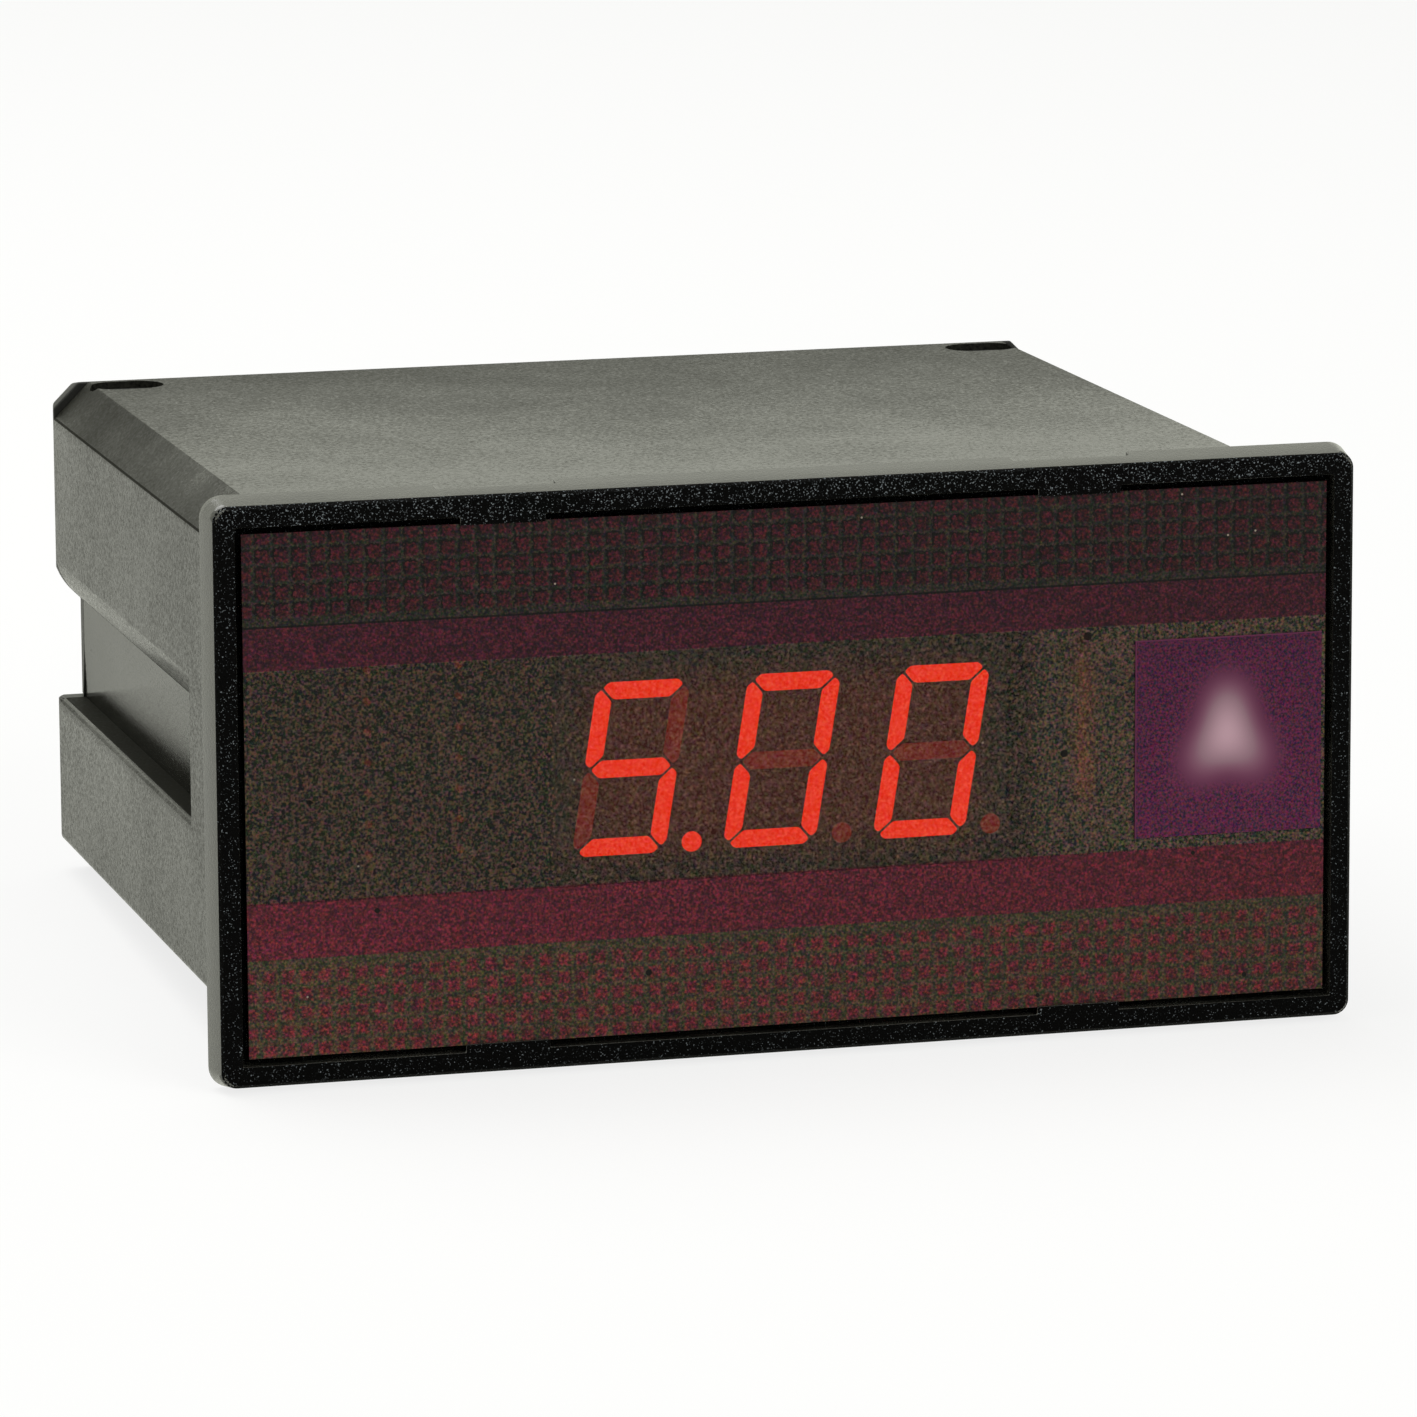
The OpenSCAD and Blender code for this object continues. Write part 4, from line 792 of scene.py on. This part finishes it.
# %% The display board
STREAK_WIDTH = 1.4 * MM
STREAK_LIGHT = 0.4
STREAK_HALF = 9 * MM
FRONT_SKIN = 0.1 * MM
board_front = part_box("display_board")[0].y + FRONT_SKIN
dark_board, tree, spot = begin("black_lacquered_board")
axes = add(tree, "ShaderNodeSeparateXYZ", {0: spot})
front = add(tree, "ShaderNodeMath", {0: axes.outputs[1], 1: board_front}, operation="LESS_THAN")
near = add(tree, "ShaderNodeMapRange",
           {"Value": axes.outputs[0], "From Min": box_low.x - STREAK_WIDTH, "From Max": box_low.x},
           interpolation_type="SMOOTHSTEP")
outside = add(tree, "ShaderNodeMath", {0: axes.outputs[0], 1: box_low.x}, operation="LESS_THAN")
rise = add(tree, "ShaderNodeMath", {0: axes.outputs[2]}, operation="ABSOLUTE")
ends = add(tree, "ShaderNodeMapRange",
           {"Value": rise.outputs[0], "From Min": LIT_HALF, "From Max": STREAK_HALF,
            "To Min": 1.0, "To Max": 0.0})
mottle = add(tree, "ShaderNodeTexNoise", {"Vector": spot, "Scale": 1 / (MOTTLE_MM * MM), "Detail": 3.0})
streak = STREAK_LIGHT
for factor in (front, near, outside, ends, mottle):
    streak = add(tree, "ShaderNodeMath", {0: factor.outputs[0], 1: streak}, operation="MULTIPLY").outputs[0]
tone = add(tree, "ShaderNodeMix", {0: mottle.outputs[0], 6: linear("#040504"), 7: linear("#090b09")},
           data_type="RGBA")
# black solder lacquer, so that little but the digits shows; stray light runs along it to the light box
shader = add(tree, "ShaderNodeBsdfPrincipled",
             {"Base Color": tone.outputs[2], "Roughness": 0.5, "Specular IOR Level": 0.1,
              "Emission Color": linear("#ff6428"), "Emission Strength": streak})
close(tree, shader)
print("streak beside the light box:", STREAK_WIDTH / MM, "mm")

# %% The driver chip
BODY_HALF = 3.3 * MM
LEG_LIGHT = 0.65
chip_low, chip_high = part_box("driver_chip")
chip_middle = (chip_low.x + chip_high.x) / 2
driver_epoxy, tree, spot = begin("chip_epoxy_with_lit_legs")
axes = add(tree, "ShaderNodeSeparateXYZ", {0: spot})
front = add(tree, "ShaderNodeMath", {0: axes.outputs[1], 1: board_front}, operation="LESS_THAN")
away = add(tree, "ShaderNodeMath", {0: axes.outputs[0], 1: chip_middle}, operation="SUBTRACT")
away = add(tree, "ShaderNodeMath", {0: away.outputs[0]}, operation="ABSOLUTE")
leg = add(tree, "ShaderNodeMath", {0: away.outputs[0], 1: BODY_HALF}, operation="GREATER_THAN")
tone = add(tree, "ShaderNodeMix", {0: leg.outputs[0], 6: linear("#080808"), 7: linear("#8c8e8c")},
           data_type="RGBA")
lit = add(tree, "ShaderNodeMath", {0: front.outputs[0], 1: LEG_LIGHT}, operation="MULTIPLY")
# matt chip epoxy between tinned legs; their ends in front of the board mirror the red of the digits
shader = add(tree, "ShaderNodeBsdfPrincipled",
             {"Base Color": tone.outputs[2], "Roughness": 0.5, "Metallic": leg.outputs[0],
              "Emission Color": linear("#ff5a28"), "Emission Strength": lit.outputs[0]})
close(tree, shader)
print("driver chip middle:", round(chip_middle / MM, 2), "mm")

# %% [markdown]
# ## Rounding the edges
# A moulded edge is never sharp: the tool maker's cutter and the shrinking plastic leave a small radius that
# catches the light. The solids are sharp, so for each outer piece we take a copy, weld its loose
# triangles and melt the flat ones back into whole faces. Blender holds a whole Bevel back to what its
# tightest corner can take, so we mark only the edges that have room for the radius. The two halves of a
# square edge's rounding meet at 45 degrees, and each meets its wall at half of that. Smoothing stops between
# those two angles, so that each half keeps to its own wall and flat walls stay flat to the eye.

# %% A rounded copy of a solid
WELD = 0.0005 * MM
FLAT_ANGLE = math.radians(0.6)
SHARP_ANGLE = math.radians(32)
SMOOTH_ANGLE = math.radians(30)


# elbow: how many radii long every line must be that an edge meets at its ends
def rounded_copy(node, name, radius_mm, body, finish, elbow=2.1):
    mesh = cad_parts[node].data.copy()
    piece = bpy.data.objects.new(name, mesh)
    scene.collection.objects.link(piece)
    bpy.ops.object.select_all(action="DESELECT")
    piece.select_set(True)
    bpy.context.view_layer.objects.active = piece
    bpy.ops.object.mode_set(mode="EDIT")
    bpy.ops.mesh.select_all(action="SELECT")
    bpy.ops.mesh.remove_doubles(threshold=WELD)
    bpy.ops.mesh.dissolve_limited(angle_limit=FLAT_ANGLE)
    bpy.ops.mesh.select_all(action="DESELECT")
    bpy.ops.mesh.select_mode(type="EDGE")
    bpy.ops.mesh.edges_select_sharp(sharpness=SHARP_ANGLE)
    bpy.ops.object.mode_set(mode="OBJECT")
    room = {}
    for line in mesh.edges:
        start, end = (mesh.vertices[corner].co for corner in line.vertices)
        for corner in line.vertices:
            room[corner] = min(room.get(corner, 1.0), (end - start).length)
    marks = mesh.attributes.new("bevel_weight_edge", "FLOAT", "EDGE")
    for line in mesh.edges:
        free = min(room[corner] for corner in line.vertices) > elbow * radius_mm * MM
        marks.data[line.index].value = float(line.select and free)
    edge = piece.modifiers.new("edge", "BEVEL")
    edge.width = radius_mm * MM
    edge.segments = 2
    edge.limit_method = "WEIGHT"
    bpy.ops.object.modifier_apply(modifier="edge")
    bpy.ops.object.shade_smooth_by_angle(angle=SMOOTH_ANGLE)
    level_faces = piece.modifiers.new("level_faces", "WEIGHTED_NORMAL")
    level_faces.weight = 100
    level_faces.keep_sharp = True
    bpy.ops.object.modifier_apply(modifier="level_faces")
    piece.data.materials.clear()
    piece.data.materials.append(finish)
    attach(piece, body)
    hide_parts(node)
    return piece


# the case and the strip are full of short lines, so only edges that run among long ones are rounded
WIDE = 8
shell = rounded_copy("case", "case_shell", 0.22, "meter", case_abs, elbow=WIDE)
bezel = rounded_copy("front_bezel", "bezel_frame", 0.11, "meter", frame_abs)
cover = rounded_copy("rear_cover", "rear_cover_moulding", 0.2, "meter", cover_nylon)
strip = rounded_copy("terminal_strip", "barrier_strip", 0.2, "meter", strip_phenolic,
                     elbow=WIDE)
for piece in (shell, bezel, cover, strip):
    print(piece.name, len(piece.data.polygons), "faces")

# %% [markdown]
# ## Several skins on one moulding
# The walls of one tool can be polished or etched, and the moulding shows it. Each skin could be a piece of
# its own. We sort the faces of the one piece instead, by where they look and where they lie, and give each
# its material.
# Some of these carry painted light: glints on the frame's face, and darker copies for faces in shade on the
# case.
# How far a face looks along an axis is the cosine of its angle to it.

# %% The frame's grained face
FACE_LEAN = -0.7
bezel.data.materials.append(face_abs)
face_count = 0
for polygon in bezel.data.polygons:
    if polygon.normal.y < FACE_LEAN:
        polygon.material_index = 1
        face_count += 1
print("grained faces on the frame:", face_count)

# %% The case's other faces
CHAMFER_LEAN, WALL_LEAN, FLOOR_LEAN = 0.65, 0.9, 0.95
FOOT_LEAN_LOW, FOOT_LEAN_HIGH = 0.4, 0.62
WALL_IN, WALL_OUT = 42 * MM, 44 * MM
CHANNEL_HALF = 10 * MM
CHAMFER_LOW = 15 * MM
for finish in (chamfer_shade_abs, slid_abs, deep_shade_abs):
    shell.data.materials.append(finish)
counts = [0, 0, 0, 0]
for polygon in shell.data.polygons:
    lean, place = polygon.normal, polygon.center
    channel = abs(place.z) < CHANNEL_HALF
    # chamfers: the copy with less mirror, painted shade
    if min(abs(lean.x), abs(lean.z)) > CHAMFER_LEAN:
        polygon.material_index = 1
    elif channel and abs(lean.x) > WALL_LEAN and WALL_IN < abs(place.x) < WALL_OUT:
        polygon.material_index = 2
    # channel floors, and below them the chamfers' foot: the dull copy, painted shade
    elif channel and lean.z > FLOOR_LEAN:
        polygon.material_index = 3
    elif FOOT_LEAN_LOW < lean.z < FOOT_LEAN_HIGH and place.z > CHAMFER_LOW:
        polygon.material_index = 3
    counts[polygon.material_index] += 1
# in this print, matt stands for the chamfers' painted shade, raw for that of the channel floors and chamfer
# foot
print("satin, matt, polished and raw faces on the case:", counts)

# %% Saddles and screws
TERMINALS = 6
for i in range(1, TERMINALS + 1):
    rounded_copy(f"terminal_saddle_{i}", f"clamp_saddle_{i}", 0.12, f"saddle_{i}", zinc_steel)
    rounded_copy(f"terminal_screw_{i}", f"clamp_screw_{i}", 0.1, f"screw_{i}", zinc_steel)
rounded_copy("strip_screws", "strip_fixing_screws", 0.1, "meter", zinc_steel)
print("saddles and screws rounded:", 2 * TERMINALS + 1)

# %% [markdown]
# ## Finishes for the other solids
# The remaining solids already have the right shape. They could be copied and rounded too, but most of them
# lie inside, where a fine edge isn't seen. So they stay as they are and only get their materials.

# %% Assign the finishes
finishes = {
    window_acrylic: ["filter_window"],
    film_print: ["front_film"],
    label_print: ["unit_label"],
    rolled_brass: ["terminal_plates"],
    board_laminate: ["main_board"],
    dark_board: ["display_board"],
    header_nylon: ["board_header"],
    digit_plastic: ["digit_body_1", "digit_body_2", "digit_body_3"],
    tinned_wire: ["digit_pins"],
    segment_alight: ["segments_lit"],
    segment_dark: ["segments_unlit"],
    chip_epoxy: ["converter_chip", "rectifier", "regulator"],
    driver_epoxy: ["driver_chip"],
    light_box_abs: ["unit_light_box"],
    lamp_epoxy: ["unit_lamps"],
    core_laminations: ["transformer_core"],
    coil_wire: ["transformer_coil"],
    can_sleeve: ["filter_capacitors"],
    capacitor_resin: ["film_capacitors"],
    resistor_lacquer: ["resistors"],
    shunt_alloy: ["input_shunt"],
    trimmer_body: ["span_trimmer_body"],
    rotor_plastic: ["span_trimmer_rotor"],
}
for finish, nodes in finishes.items():
    for name in nodes:
        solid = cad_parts[name]
        for row in solid.material_slots:
            row.material = finish
print("solids finished:", sum(len(nodes) for nodes in finishes.values()))
